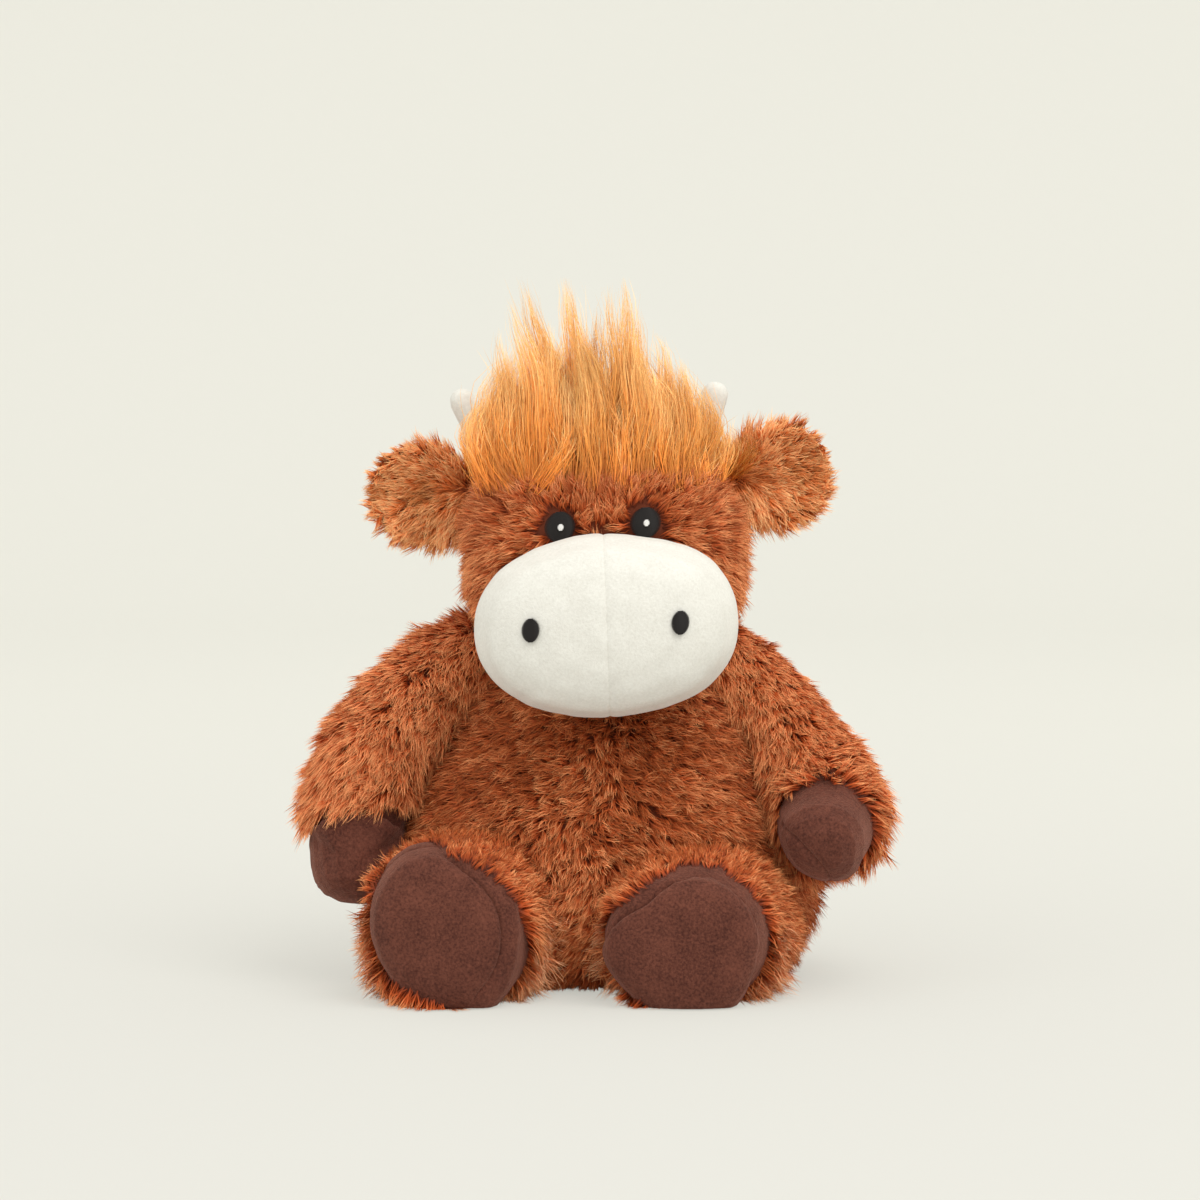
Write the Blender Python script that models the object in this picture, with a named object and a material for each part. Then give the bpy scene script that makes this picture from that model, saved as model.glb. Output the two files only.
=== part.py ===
"""Sitting plush cow: fur body, boxy head with a velour muzzle, sleeves ending in velour hooves, legs ending in
velour feet, ears, horns, forelock and tail. Metres, +Z up. The cow faces -Y and sits on the plane Z = 0,
so its own left side is at +X. Left and right in every name are the cow's own."""

import math

import bmesh
import bpy
from mathutils import Matrix, Vector

# Clearances shared by mating pieces
GAP = 0.0003
OVERRUN = 0.004
SEAT_CUT = 0.0005
CUT_REACH_SHARE = 4

# Fabric thickness: fur fabric with the dense part of its pile, and short velour
FUR_WALL = 0.0030
VELOUR_WALL = 0.0020

# Torso, a pear that is widest near the seat
BODY_HALF_WIDTH = 0.101
BODY_HALF_DEPTH = 0.0745
BODY_BASE_HEIGHT = 0.0145
BODY_SHOULDER_HEIGHT = 0.1545
BODY_NECK_RISE = 0.020
BODY_FORWARD = 0.003
NECK_BORE_RADIUS = 0.024
POUCH_HEIGHT = 0.026
BODY_POWER = 2.15
BODY_END_POWERS = (3.2, 2.2)
BODY_SHARES = (
    (0.00, 0.92, 0.92, -0.7),
    (0.15, 1.00, 1.00, -0.9),
    (0.32, 0.97, 1.00, -1.0),
    (0.50, 0.88, 0.92, -0.4),
    (0.68, 0.755, 0.80, 0.3),
    (0.86, 0.625, 0.67, 1.0),
    (1.00, 0.515, 0.56, 1.5),
)

# Head, a rounded box that leans to one side
HEAD_TILT = math.radians(3.0)
HEAD_SHIFT = 0.0035
HEAD_HALF_WIDTH = 0.0630
HEAD_HALF_DEPTH = 0.0540
HEAD_BASE_RISE = 0.0015
HEAD_HEIGHT = 0.0740
HEAD_PIVOT_RISE = 0.0140
HEAD_BASE_HEIGHT = BODY_SHOULDER_HEIGHT + HEAD_BASE_RISE
HEAD_PIVOT_HEIGHT = HEAD_BASE_HEIGHT + HEAD_PIVOT_RISE
HEAD_BROW_HEIGHT = HEAD_BASE_HEIGHT + HEAD_HEIGHT
HEAD_CHIN_DROP = 0.010
HEAD_CROWN_RISE = 0.013
HEAD_FORWARD = 0.003
HEAD_POWER = 2.7
HEAD_END_POWERS = (2.4, 2.8)
HEAD_SHARES = (
    (0.00, 0.80, 0.82),
    (0.18, 0.94, 0.94),
    (0.38, 1.00, 1.00),
    (0.62, 0.975, 1.00),
    (0.85, 0.925, 0.96),
    (1.00, 0.885, 0.91),
)

# Muzzle, a wide pillow of two velour panels
MUZZLE_HALF_WIDTH = 0.0600
MUZZLE_HALF_HEIGHT = 0.0380
MUZZLE_CENTRE_RISE = 0.0112
MUZZLE_SHIFT = -0.0010
MUZZLE_SINK = 0.0270
MUZZLE_STAND = 0.0280
MUZZLE_CENTRE_HEIGHT = HEAD_BASE_HEIGHT + MUZZLE_CENTRE_RISE
MUZZLE_BACK = -HEAD_HALF_DEPTH - HEAD_FORWARD + MUZZLE_SINK
MUZZLE_RIM = -HEAD_HALF_DEPTH - HEAD_FORWARD - MUZZLE_STAND
MUZZLE_BULGE = 0.021
MUZZLE_BACK_ROUND = 0.006
MUZZLE_BUMP_HEIGHT = 0.0045
MUZZLE_BUMP_WIDTH = 0.020
MUZZLE_BUMP_SHIFT = 0.003
MUZZLE_POWER = 2.45
MUZZLE_END_POWERS = (2.0, 2.3)
MUZZLE_SHARES = (
    (0.00, 0.90),
    (0.35, 0.97),
    (0.70, 1.00),
    (0.88, 0.985),
    (1.00, 0.93),
)

# Embroidered eyes, their white glints, and embroidered nostrils
EYE_HALF_WIDTH = 0.0068
EYE_HALF_HEIGHT = 0.0075
EYE_SPACING = 0.0390
EYE_DROP = 0.0164
EYE_HEIGHT = HEAD_BROW_HEIGHT - EYE_DROP
GLINT_RADIUS = 0.0015
GLINT_SHIFT = 0.0004
NOSTRIL_HALF_WIDTH = 0.0040
NOSTRIL_HALF_HEIGHT = 0.0054
NOSTRIL_SPACING = 0.0666
NOSTRIL_RISE = 0.0040
NOSTRIL_HEIGHT = MUZZLE_CENTRE_HEIGHT + NOSTRIL_RISE
THREAD_THICKNESS = 0.0012
GLINT_THICKNESS = 0.0008

# Ears, each of two fur panels, hinged along a rolled seam on the side of the head
EAR_LENGTH = 0.0480
EAR_HALF_HEIGHT = 0.0225
EAR_DROP = 0.0030
EAR_HEIGHT = HEAD_BROW_HEIGHT - EAR_DROP
EAR_BACK = 0.006
EAR_PANEL = 0.0052
EAR_EDGE = 0.0012
EAR_SEAM_RADIUS = 0.0024
EAR_CURL = 0.0085
EAR_LIFT = math.radians(4.0)
EAR_SEAM_STAND = 0.0009
EAR_SWELL_SHARE = 1 / 3
EAR_SHARES = (
    (0.00, 0.60),
    (0.10, 0.66),
    (0.28, 0.86),
    (0.50, 1.00),
    (0.72, 0.97),
    (0.90, 0.72),
    (1.00, 0.34),
)

# Horns, short stuffed velour cones
HORN_INSET = 0.0160
HORN_FOOT_RISE = 0.0020
HORN_HALF_SPACING = HEAD_HALF_WIDTH - HORN_INSET
HORN_FOOT_HEIGHT = HEAD_BROW_HEIGHT + HORN_FOOT_RISE
HORN_BACK = 0.012
HORN_RISE = 0.0360
HORN_SPREAD = 0.0130
HORN_RADIUS = 0.0085
HORN_TIP_ROUND = 0.0055
HORN_SHARES = (
    (0.00, 0.00, 1.00),
    (0.45, 0.30, 0.92),
    (0.55, 0.65, 0.80),
    (1.00, 1.00, 0.66),
)

# Forelock, long hair that stands up from a strip across the brow
LOCK_INSET = 0.0060
LOCK_HEIGHT = 0.0760
LOCK_FOOT_RISE = 0.0045
LOCK_SETBACK = 0.0130
LOCK_HALF_WIDTH = HEAD_HALF_WIDTH - LOCK_INSET
LOCK_FOOT_HEIGHT = HEAD_BROW_HEIGHT + LOCK_FOOT_RISE
LOCK_FRONT = -HEAD_HALF_DEPTH - HEAD_FORWARD + LOCK_SETBACK
LOCK_DEPTH = 0.0400
LOCK_TIP = 0.0040
LOCK_SWEEP = 0.0240
LOCK_SHIFT = -0.0020
LOCK_THIN_POWER = 0.8
LOCK_WAIST_SHARE = 0.10
LOCK_TAPER_SHARE = 0.22
LOCK_SHARES = (
    (-1.00, 0.34, 0.90),
    (-0.86, 0.58, 0.93),
    (-0.70, 0.78, 0.95),
    (-0.56, 0.96, 0.96),
    (-0.40, 0.86, 0.97),
    (-0.20, 1.00, 1.00),
    (0.00, 0.82, 1.00),
    (0.22, 0.97, 1.00),
    (0.42, 0.80, 0.97),
    (0.62, 0.64, 0.96),
    (0.82, 0.50, 0.94),
    (1.00, 0.32, 0.90),
)

# Arms: a fur sleeve that ends in a velour hoof. The right one hangs, the left one reaches forward.
SHOULDER_INSET = 0.0020
SHOULDER_DROP = 0.0085
SHOULDER_HALF_SPACING = BODY_HALF_WIDTH * BODY_SHARES[-1][1] - SHOULDER_INSET
SHOULDER_HEIGHT = BODY_SHOULDER_HEIGHT - SHOULDER_DROP
ARM_LIFT = math.radians(45.0)
ARM_TUCK_GAP = 0.0022
ARM_HALF_GIRTH = 0.0265
HOOF_ROUND = 0.0180
LIMB_POWER = 2.2
HOOF_POWERS = (2.2, 2.4)
FOOT_POWERS = (2.2, 2.5)
ROUND_POWERS = (2.0, 2.0)
RIGHT_ARM_OUT = 0.0620
RIGHT_ARM_FORWARD = 0.0360
RIGHT_ARM_DROP = 0.0930
RIGHT_ARM_SHARES = (
    (0.00, 0.00, 0.00, 0.84),
    (0.37, 0.14, 0.10, 0.92),
    (0.72, 0.41, 0.33, 0.96),
    (0.94, 0.69, 0.58, 0.99),
    (1.00, 0.86, 0.82, 0.95),
    (1.00, 1.00, 1.00, 0.90),
)
RIGHT_CUFF_DROP = 0.0740
LEFT_ARM_OUT = 0.0550
LEFT_ARM_FORWARD = 0.0660
LEFT_ARM_DROP = 0.0730
LEFT_ARM_SHARES = (
    (0.00, 0.00, 0.00, 0.84),
    (0.33, 0.06, 0.20, 0.88),
    (0.63, 0.18, 0.46, 0.93),
    (0.87, 0.39, 0.72, 0.99),
    (1.00, 0.68, 0.91, 0.98),
    (0.96, 1.00, 1.00, 0.82),
)
LEFT_CUFF_BACK = 0.0115
LEFT_HOOF_ROUND = 0.0220

# Legs: a fur tube that ends in a velour foot with a sewn-on sole
HIP_HALF_SPACING = 0.0440
HIP_FORWARD = 0.0180
LEG_LENGTH = 0.0820
FOOT_ROUND = 0.0130
LEG_HALF_WIDTH = 0.0400
LEG_HALF_HEIGHT = 0.0375
RIGHT_LEG_SPREAD = 0.0235
RIGHT_LEG_SHARES = (
    (0.00, 0.00, 0.82, 0.92),
    (0.33, 0.42, 0.93, 0.97),
    (0.63, 0.77, 1.00, 1.00),
    (0.85, 0.94, 0.95, 1.00),
    (1.00, 1.00, 0.89, 0.97),
)
LEFT_LEG_SPREAD = -0.0050
LEFT_LEG_SHARES = (
    (0.00, 0.00, 0.82, 0.90),
    (0.33, -0.60, 0.92, 0.93),
    (0.63, -0.40, 0.98, 0.93),
    (0.85, 0.60, 0.96, 0.89),
    (1.00, 1.00, 0.93, 0.845),
)
LEG_CUFF_BACK = 0.0200
RIGHT_SOLE_BACK = 0.0040
LEFT_SOLE_BACK = 0.0025
RIGHT_SOLE_TURN = math.radians(20.0)
LEFT_SOLE_TURN = math.radians(6.0)
LEFT_SOLE_TIP = math.radians(6.0)

# Tail, a short fur tube with a hair tuft, hanging down the back
TAIL_HEIGHT = 0.0640
TAIL_SINK = 0.0125
TAIL_ROOT_BACK = BODY_HALF_DEPTH - TAIL_SINK
TAIL_STAND = 0.0260
TAIL_DROP = 0.0360
TAIL_RADIUS = 0.0065
TAIL_SHARES = (
    (0.00, 0.00, 0.85),
    (0.55, 0.22, 1.00),
    (0.88, 0.62, 1.00),
    (1.00, 1.00, 0.95),
)
TUFT_LENGTH = 0.0170
TUFT_RADIUS = 0.0085
TUFT_SHARES = (
    (0.00, 0.72),
    (0.40, 1.00),
    (1.00, 0.55),
)
TUFT_ROUND = 0.0040

# Hinge lines, each where a sewn seam lets its piece swing
NECK_HINGE_INSET = 0.0022
NECK_HINGE_RISE = 0.0025
NECK_HINGE_BACK = BODY_FORWARD * BODY_SHARES[-1][3] + BODY_HALF_DEPTH * BODY_SHARES[-1][2] - NECK_HINGE_INSET
NECK_HINGE_HEIGHT = BODY_SHOULDER_HEIGHT + NECK_HINGE_RISE
SHOULDER_HINGE_STAND = 0.0080
SHOULDER_HINGE_RISE = 0.0160
SHOULDER_HINGE_OUT = SHOULDER_HALF_SPACING + SHOULDER_HINGE_STAND
SHOULDER_HINGE_HEIGHT = SHOULDER_HEIGHT + SHOULDER_HINGE_RISE
HIP_HINGE_AHEAD = 0.0180
HIP_HINGE_RISE = 0.0065
HIP_HINGE_FORWARD = HIP_FORWARD + HIP_HINGE_AHEAD
HIP_HINGE_HEIGHT = 2 * LEG_HALF_HEIGHT + HIP_HINGE_RISE
TAIL_HINGE_INSET = 0.0005
TAIL_HINGE_BACK = BODY_HALF_DEPTH - TAIL_HINGE_INSET
TAIL_HINGE_HEIGHT = TAIL_HEIGHT + TAIL_RADIUS

# Colours of the fabrics, threads and fillings
RUST_FUR = (0.420, 0.125, 0.045)
GOLD_HAIR = (0.700, 0.270, 0.055)
WHITE_VELOUR = (0.840, 0.830, 0.760)
BROWN_VELOUR = (0.125, 0.046, 0.030)
BLACK_THREAD = (0.022, 0.019, 0.017)
WHITE_THREAD = (0.800, 0.800, 0.820)
FIBRE_FILLING = (0.780, 0.780, 0.760)
POUCH_CLOTH = (0.560, 0.500, 0.400)
FUR_ROUGHNESS = 0.85
HAIR_ROUGHNESS = 0.50
VELOUR_ROUGHNESS = 0.85
THREAD_ROUGHNESS = 0.50
FIBRE_ROUGHNESS = 0.95

# Counts of faces round and along the forms, first for the shown surface and then for the hollow under it
SHOWN, HOLLOW = 0, 1
AROUND = (24, 14)
MUZZLE_AROUND = (26, 16)
LIMB_AROUND = (18, 12)
SMALL_AROUND = 12
OVAL_AROUND = 14
BODY_RINGS = (9, 6)
HEAD_RINGS = (7, 4)
MUZZLE_RINGS = (4, 3)
ARM_RINGS = (8, 6)
LEG_RINGS = (7, 4)
END_RINGS = (3, 2)
SMALL_RINGS = 4
EAR_GRID = (6, 4)
LOCK_GRID = (3, 18)
ARM_SWING_STEPS = 4


def clear_scene():
    for obj in list(bpy.data.objects):
        bpy.data.objects.remove(obj, do_unlink=True)


def make_material(name, colour, roughness):
    material = bpy.data.materials.new(name)
    material.use_nodes = True
    shader = material.node_tree.nodes["Principled BSDF"]
    shader.inputs["Base Color"].default_value = (*colour, 1)
    shader.inputs["Roughness"].default_value = roughness
    shader.inputs["Metallic"].default_value = 0
    return material


def link_object(name, mesh, material=None):
    obj = bpy.data.objects.new(name, mesh)
    bpy.context.collection.objects.link(obj)
    if material:
        mesh.materials.append(material)
    return obj


def make_cutter(name, mesh):
    """A hidden shape that only cuts others."""
    obj = link_object(name, mesh)
    obj.hide_render = True
    obj.display_type = "WIRE"
    return obj


def carve(obj, cutters, operation="DIFFERENCE"):
    for cutter in cutters:
        modifier = obj.modifiers.new(operation.lower() + "_" + cutter.name, "BOOLEAN")
        modifier.operation = operation
        modifier.solver = "EXACT"
        modifier.object = cutter


def smooth_rows(rows, count):
    """Rows of numbers read evenly along a smooth curve through the given rows."""
    steps = len(rows) - 1
    found = []
    for index in range(count + 1):
        place = index * steps / count
        first = min(int(place), steps - 1)
        t = place - first
        a = rows[max(first - 1, 0)]
        b = rows[first]
        c = rows[first + 1]
        d = rows[min(first + 2, steps)]
        found.append(
            [
                ((2 * q) + (r - p) * t + (2 * p - 5 * q + 4 * r - s) * t**2 + (3 * q - p - 3 * r + s) * t**3) / 2
                for p, q, r, s in zip(a, b, c, d)
            ]
        )
    return found


def superellipse(angle, power):
    """A point of the unit superellipse: power 2 is a circle and more is boxier."""
    c, s = math.cos(angle), math.sin(angle)
    return math.copysign(abs(c) ** (2 / power), c), math.copysign(abs(s) ** (2 / power), s)


class Section:
    """One ring of a lofted form: its centre, its two directions and its half sizes."""

    def __init__(self, centre, u, v, half_u, half_v):
        self.centre = centre
        self.u = u
        self.v = v
        self.half_u = half_u
        self.half_v = half_v

    def normal(self):
        return self.u.cross(self.v)

    def ring(self, outline, around, share=1.0, ahead=0.0):
        centre = self.centre + self.normal() * ahead
        points = []
        for step in range(around):
            p, q = outline(math.tau * step / around)
            points.append(centre + self.u * (p * self.half_u * share) + self.v * (q * self.half_v * share))
        return points


def add_quad(mesh, a, b, c, d):
    """Two triangles, always on the same diagonal, so that nested forms keep their clearance."""
    mesh.faces.new((a, b, c))
    mesh.faces.new((a, c, d))


def loft(name, sections, outline, around, ends, end_powers, cap_rings, grow=0.0):
    """A closed form through rings, with a rounded end of the given length at each end, moved out by grow."""
    rings = []
    first, last = sections[0], sections[-1]
    for step in range(cap_rings, 0, -1):
        share, ahead = superellipse(math.pi / 2 * step / (cap_rings + 1), end_powers[0])
        rings.append(first.ring(outline, around, share, -ahead * ends[0]))
    rings.extend(section.ring(outline, around) for section in sections)
    for step in range(1, cap_rings + 1):
        share, ahead = superellipse(math.pi / 2 * step / (cap_rings + 1), end_powers[1])
        rings.append(last.ring(outline, around, share, ahead * ends[1]))
    mesh = bmesh.new()
    loops = [[mesh.verts.new(point) for point in ring] for ring in rings]
    for lower, upper in zip(loops, loops[1:]):
        for step in range(around):
            after = (step + 1) % around
            add_quad(mesh, lower[step], lower[after], upper[after], upper[step])
    poles = (
        mesh.verts.new(first.centre - first.normal() * ends[0]),
        mesh.verts.new(last.centre + last.normal() * ends[1]),
    )
    for step in range(around):
        after = (step + 1) % around
        mesh.faces.new((loops[0][after], loops[0][step], poles[0]))
        mesh.faces.new((loops[-1][step], loops[-1][after], poles[1]))
    return finish_mesh(name, mesh, grow)


def finish_mesh(name, mesh, grow=0.0):
    bmesh.ops.recalc_face_normals(mesh, faces=mesh.faces)
    mesh.normal_update()
    moves = [vertex.normal * (grow * vertex.calc_shell_factor()) for vertex in mesh.verts]
    for vertex, move in zip(mesh.verts, moves):
        vertex.co += move
    data = bpy.data.meshes.new(name)
    mesh.to_mesh(data)
    mesh.free()
    data.shade_smooth()
    return data


def box_mesh(name, low, high, matrix=Matrix()):
    mesh = bmesh.new()
    bmesh.ops.create_cube(mesh, size=1.0)
    size = Vector(high) - Vector(low)
    middle = (Vector(high) + Vector(low)) / 2
    place = matrix @ Matrix.Translation(middle) @ Matrix.Diagonal((*size, 1))
    bmesh.ops.transform(mesh, matrix=place, verts=mesh.verts)
    return finish_mesh(name, mesh)


def rod_mesh(name, foot, tip, half_width, half_height):
    """An elliptical rod along Y, for cutting ovals out of a surface."""
    mesh = bmesh.new()
    loops = []
    for depth in (foot[1], tip[1]):
        ring = []
        for step in range(OVAL_AROUND):
            angle = math.tau * step / OVAL_AROUND
            c, s = math.cos(angle), math.sin(angle)
            ring.append(mesh.verts.new((foot[0] + c * half_width, depth, foot[2] + s * half_height)))
        loops.append(ring)
    for step in range(OVAL_AROUND):
        after = (step + 1) % OVAL_AROUND
        mesh.faces.new((loops[0][step], loops[0][after], loops[1][after], loops[1][step]))
    mesh.faces.new(loops[0])
    mesh.faces.new(loops[1])
    return finish_mesh(name, mesh)


def head_matrix():
    """From the upright head to the head as it sits, shifted and tilted about the neck."""
    pivot = Matrix.Translation((HEAD_SHIFT, 0, HEAD_PIVOT_HEIGHT))
    return pivot @ Matrix.Rotation(-HEAD_TILT, 4, "Y") @ Matrix.Translation((0, 0, -HEAD_PIVOT_HEIGHT))


def in_head(mesh):
    mesh.transform(head_matrix())
    return mesh


def body_outline(angle):
    return superellipse(angle, BODY_POWER)


def body_mesh(name, grow, detail):
    height = BODY_SHOULDER_HEIGHT - BODY_BASE_HEIGHT
    rows = smooth_rows(BODY_SHARES, BODY_RINGS[detail])
    sections = [
        Section(
            Vector((0, BODY_FORWARD * shift, BODY_BASE_HEIGHT + rise * height)),
            Vector((1, 0, 0)),
            Vector((0, 1, 0)),
            BODY_HALF_WIDTH * width,
            BODY_HALF_DEPTH * depth,
        )
        for rise, width, depth, shift in rows
    ]
    ends = (BODY_BASE_HEIGHT + SEAT_CUT, BODY_NECK_RISE)
    return loft(name, sections, body_outline, AROUND[detail], ends, BODY_END_POWERS, END_RINGS[detail], grow)


def head_outline(angle):
    return superellipse(angle, HEAD_POWER)


def head_mesh(name, grow, detail):
    height = HEAD_BROW_HEIGHT - HEAD_BASE_HEIGHT
    rows = smooth_rows(HEAD_SHARES, HEAD_RINGS[detail])
    sections = [
        Section(
            Vector((0, -HEAD_FORWARD, HEAD_BASE_HEIGHT + rise * height)),
            Vector((1, 0, 0)),
            Vector((0, 1, 0)),
            HEAD_HALF_WIDTH * width,
            HEAD_HALF_DEPTH * depth,
        )
        for rise, width, depth in rows
    ]
    ends = (HEAD_CHIN_DROP, HEAD_CROWN_RISE)
    mesh = loft(name, sections, head_outline, AROUND[detail], ends, HEAD_END_POWERS, END_RINGS[detail], grow)
    return in_head(mesh)


def muzzle_outline(angle):
    """Wide and rounded, with a low bump in the middle of its upper edge."""
    x, z = superellipse(angle, MUZZLE_POWER)
    offset = (x * MUZZLE_HALF_WIDTH - MUZZLE_BUMP_SHIFT) / MUZZLE_BUMP_WIDTH
    bump = math.exp(-(offset**2)) * MUZZLE_BUMP_HEIGHT / MUZZLE_HALF_HEIGHT
    return x, z + max(z, 0) * bump


def muzzle_mesh(name, grow, detail):
    length = MUZZLE_RIM - MUZZLE_BACK
    sections = [
        Section(
            Vector((MUZZLE_SHIFT, MUZZLE_BACK + along * length, MUZZLE_CENTRE_HEIGHT)),
            Vector((1, 0, 0)),
            Vector((0, 0, 1)),
            MUZZLE_HALF_WIDTH * size,
            MUZZLE_HALF_HEIGHT * size,
        )
        for along, size in smooth_rows(MUZZLE_SHARES, MUZZLE_RINGS[detail])
    ]
    ends = (MUZZLE_BACK_ROUND, MUZZLE_BULGE)
    around, rings = MUZZLE_AROUND[detail], END_RINGS[detail]
    return in_head(loft(name, sections, muzzle_outline, around, ends, MUZZLE_END_POWERS, rings, grow))


def tube_sections(points, half_sizes, side):
    """Rings along a spine, square to it, with one of their directions kept as near to side as can be."""
    sections = []
    for index, (point, sizes) in enumerate(zip(points, half_sizes)):
        before = points[max(index - 1, 0)]
        after = points[min(index + 1, len(points) - 1)]
        ahead = (after - before).normalized()
        v = ahead.cross(side).normalized()
        u = v.cross(ahead).normalized()
        sections.append(Section(point, u, v, sizes[0], sizes[1]))
    return sections


def limb_outline(angle):
    return superellipse(angle, LIMB_POWER)


def arm_mesh(name, side, grow, detail):
    """side is 1 for the cow's left arm and -1 for its right."""
    left = side > 0
    rows = smooth_rows(LEFT_ARM_SHARES if left else RIGHT_ARM_SHARES, ARM_RINGS[detail])
    out = LEFT_ARM_OUT if left else RIGHT_ARM_OUT
    forward = LEFT_ARM_FORWARD if left else RIGHT_ARM_FORWARD
    drop = LEFT_ARM_DROP if left else RIGHT_ARM_DROP
    points = [
        Vector((side * (SHOULDER_HALF_SPACING + a * out), -b * forward, SHOULDER_HEIGHT - c * drop))
        for a, b, c, _ in rows
    ]
    sizes = [(ARM_HALF_GIRTH * row[3], ARM_HALF_GIRTH * row[3]) for row in rows]
    sections = tube_sections(points, sizes, Vector((0, -1, 0)) if not left else Vector((1, 0, 0)))
    ends = (ARM_HALF_GIRTH / 2, LEFT_HOOF_ROUND if left else HOOF_ROUND)
    return loft(name, sections, limb_outline, LIMB_AROUND[detail], ends, HOOF_POWERS, END_RINGS[detail], grow)


def leg_mesh(name, side, grow, detail):
    left = side > 0
    rows = smooth_rows(LEFT_LEG_SHARES if left else RIGHT_LEG_SHARES, LEG_RINGS[detail])
    spread = LEFT_LEG_SPREAD if left else RIGHT_LEG_SPREAD
    sections = [
        Section(
            Vector(
                (
                    side * (HIP_HALF_SPACING + b * spread),
                    -HIP_FORWARD - a * LEG_LENGTH,
                    LEG_HALF_HEIGHT * tall - SEAT_CUT,
                )
            ),
            Vector((1, 0, 0)),
            Vector((0, 0, 1)),
            LEG_HALF_WIDTH * wide,
            LEG_HALF_HEIGHT * tall,
        )
        for a, b, wide, tall in rows
    ]
    ends = (LEG_HALF_WIDTH / 4, FOOT_ROUND)
    return loft(name, sections, limb_outline, LIMB_AROUND[detail], ends, FOOT_POWERS, END_RINGS[detail], grow)


def horn_mesh(name, side):
    rows = smooth_rows(HORN_SHARES, SMALL_RINGS)
    points = [
        Vector((side * (HORN_HALF_SPACING + a * HORN_SPREAD), HORN_BACK, HORN_FOOT_HEIGHT + b * HORN_RISE))
        for a, b, _ in rows
    ]
    sizes = [(HORN_RADIUS * row[2], HORN_RADIUS * row[2]) for row in rows]
    sections = tube_sections(points, sizes, Vector((0, 1, 0)))
    ends = (HORN_RADIUS / 2, HORN_TIP_ROUND)
    return in_head(loft(name, sections, limb_outline, SMALL_AROUND, ends, ROUND_POWERS, END_RINGS[1]))


def tail_points():
    rows = smooth_rows(TAIL_SHARES, SMALL_RINGS)
    return rows, [Vector((0, TAIL_ROOT_BACK + a * TAIL_STAND, TAIL_HEIGHT - b * TAIL_DROP)) for a, b, _ in rows]


def tail_mesh(name):
    rows, points = tail_points()
    sizes = [(TAIL_RADIUS * row[2], TAIL_RADIUS * row[2]) for row in rows]
    sections = tube_sections(points, sizes, Vector((1, 0, 0)))
    ends = (TAIL_RADIUS / 2, TAIL_RADIUS / 3)
    return loft(name, sections, limb_outline, SMALL_AROUND, ends, ROUND_POWERS, 1)


def tuft_mesh(name):
    end = tail_points()[1][-1]
    top = end.z - TAIL_RADIUS / 3 - GAP - TAIL_RADIUS / 4
    rows = smooth_rows(TUFT_SHARES, SMALL_RINGS)
    points = [Vector((0, end.y, top - a * (TUFT_LENGTH - TUFT_ROUND))) for a, _ in rows]
    sizes = [(TUFT_RADIUS * row[1], TUFT_RADIUS * row[1]) for row in rows]
    sections = tube_sections(points, sizes, Vector((1, 0, 0)))
    ends = (TAIL_RADIUS / 4, TUFT_ROUND)
    return loft(name, sections, limb_outline, SMALL_AROUND, ends, ROUND_POWERS, END_RINGS[1])


def sheet_solid(name, rows, columns, surface_a, surface_b):
    """A closed solid between two curved surfaces over the same grid."""
    mesh = bmesh.new()
    grids = []
    for surface in (surface_a, surface_b):
        grids.append([[mesh.verts.new(surface(i, j)) for j in range(columns + 1)] for i in range(rows + 1)])
    for grid in grids:
        for i in range(rows):
            for j in range(columns):
                add_quad(mesh, grid[i][j], grid[i + 1][j], grid[i + 1][j + 1], grid[i][j + 1])
    border = [(i, 0) for i in range(rows)]
    border += [(rows, j) for j in range(columns)]
    border += [(i, columns) for i in range(rows, 0, -1)]
    border += [(0, j) for j in range(columns, 0, -1)]
    for here, there in zip(border, border[1:] + border[:1]):
        mesh.faces.new(
            (
                grids[0][here[0]][here[1]],
                grids[0][there[0]][there[1]],
                grids[1][there[0]][there[1]],
                grids[1][here[0]][here[1]],
            )
        )
    return finish_mesh(name, mesh)


def ear_seam_out():
    """How far from the head's middle an ear's hinge line stands."""
    return HEAD_HALF_WIDTH * HEAD_SHARES[4][1] + EAR_SEAM_STAND + EAR_SEAM_RADIUS


def ear_panel_mesh(name, side, front):
    """One fur panel of an ear, from the rolled seam at its root to the rounded tip, cupped towards the front."""
    count_along, count_across = EAR_GRID
    rows = smooth_rows(EAR_SHARES, count_along)
    face = -1 if front else 1

    def place(i, j, depth_share):
        along, height = rows[i]
        across = 2 * j / count_across - 1
        distance = along * EAR_LENGTH
        body = max(1 - abs(across) ** 3, 0) * (1 - along**4)
        thickness = EAR_EDGE + (EAR_PANEL - EAR_EDGE) * body
        rolled = EAR_SEAM_RADIUS**2 - max(EAR_SEAM_RADIUS - distance, 0) ** 2
        swell = min(along / EAR_SWELL_SHARE, 1)
        thickness = min(math.sqrt(max(rolled, 0)) + GAP, EAR_SEAM_RADIUS) * (1 - swell) + thickness * swell
        cup = EAR_CURL * (1 - across**2) * math.sin(math.pi / 2 * min(2 * along, 1))
        lift = math.sin(EAR_LIFT) * distance
        y = EAR_BACK + cup + face * (GAP / 2 + thickness * depth_share)
        x = side * (ear_seam_out() - EAR_SEAM_RADIUS + distance)
        return Vector((x, y, EAR_HEIGHT + lift + across * height * EAR_HALF_HEIGHT))

    mesh = sheet_solid(
        name,
        count_along,
        count_across,
        lambda i, j: place(i, j, 0.0),
        lambda i, j: place(i, j, 1.0),
    )
    return in_head(mesh)


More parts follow.
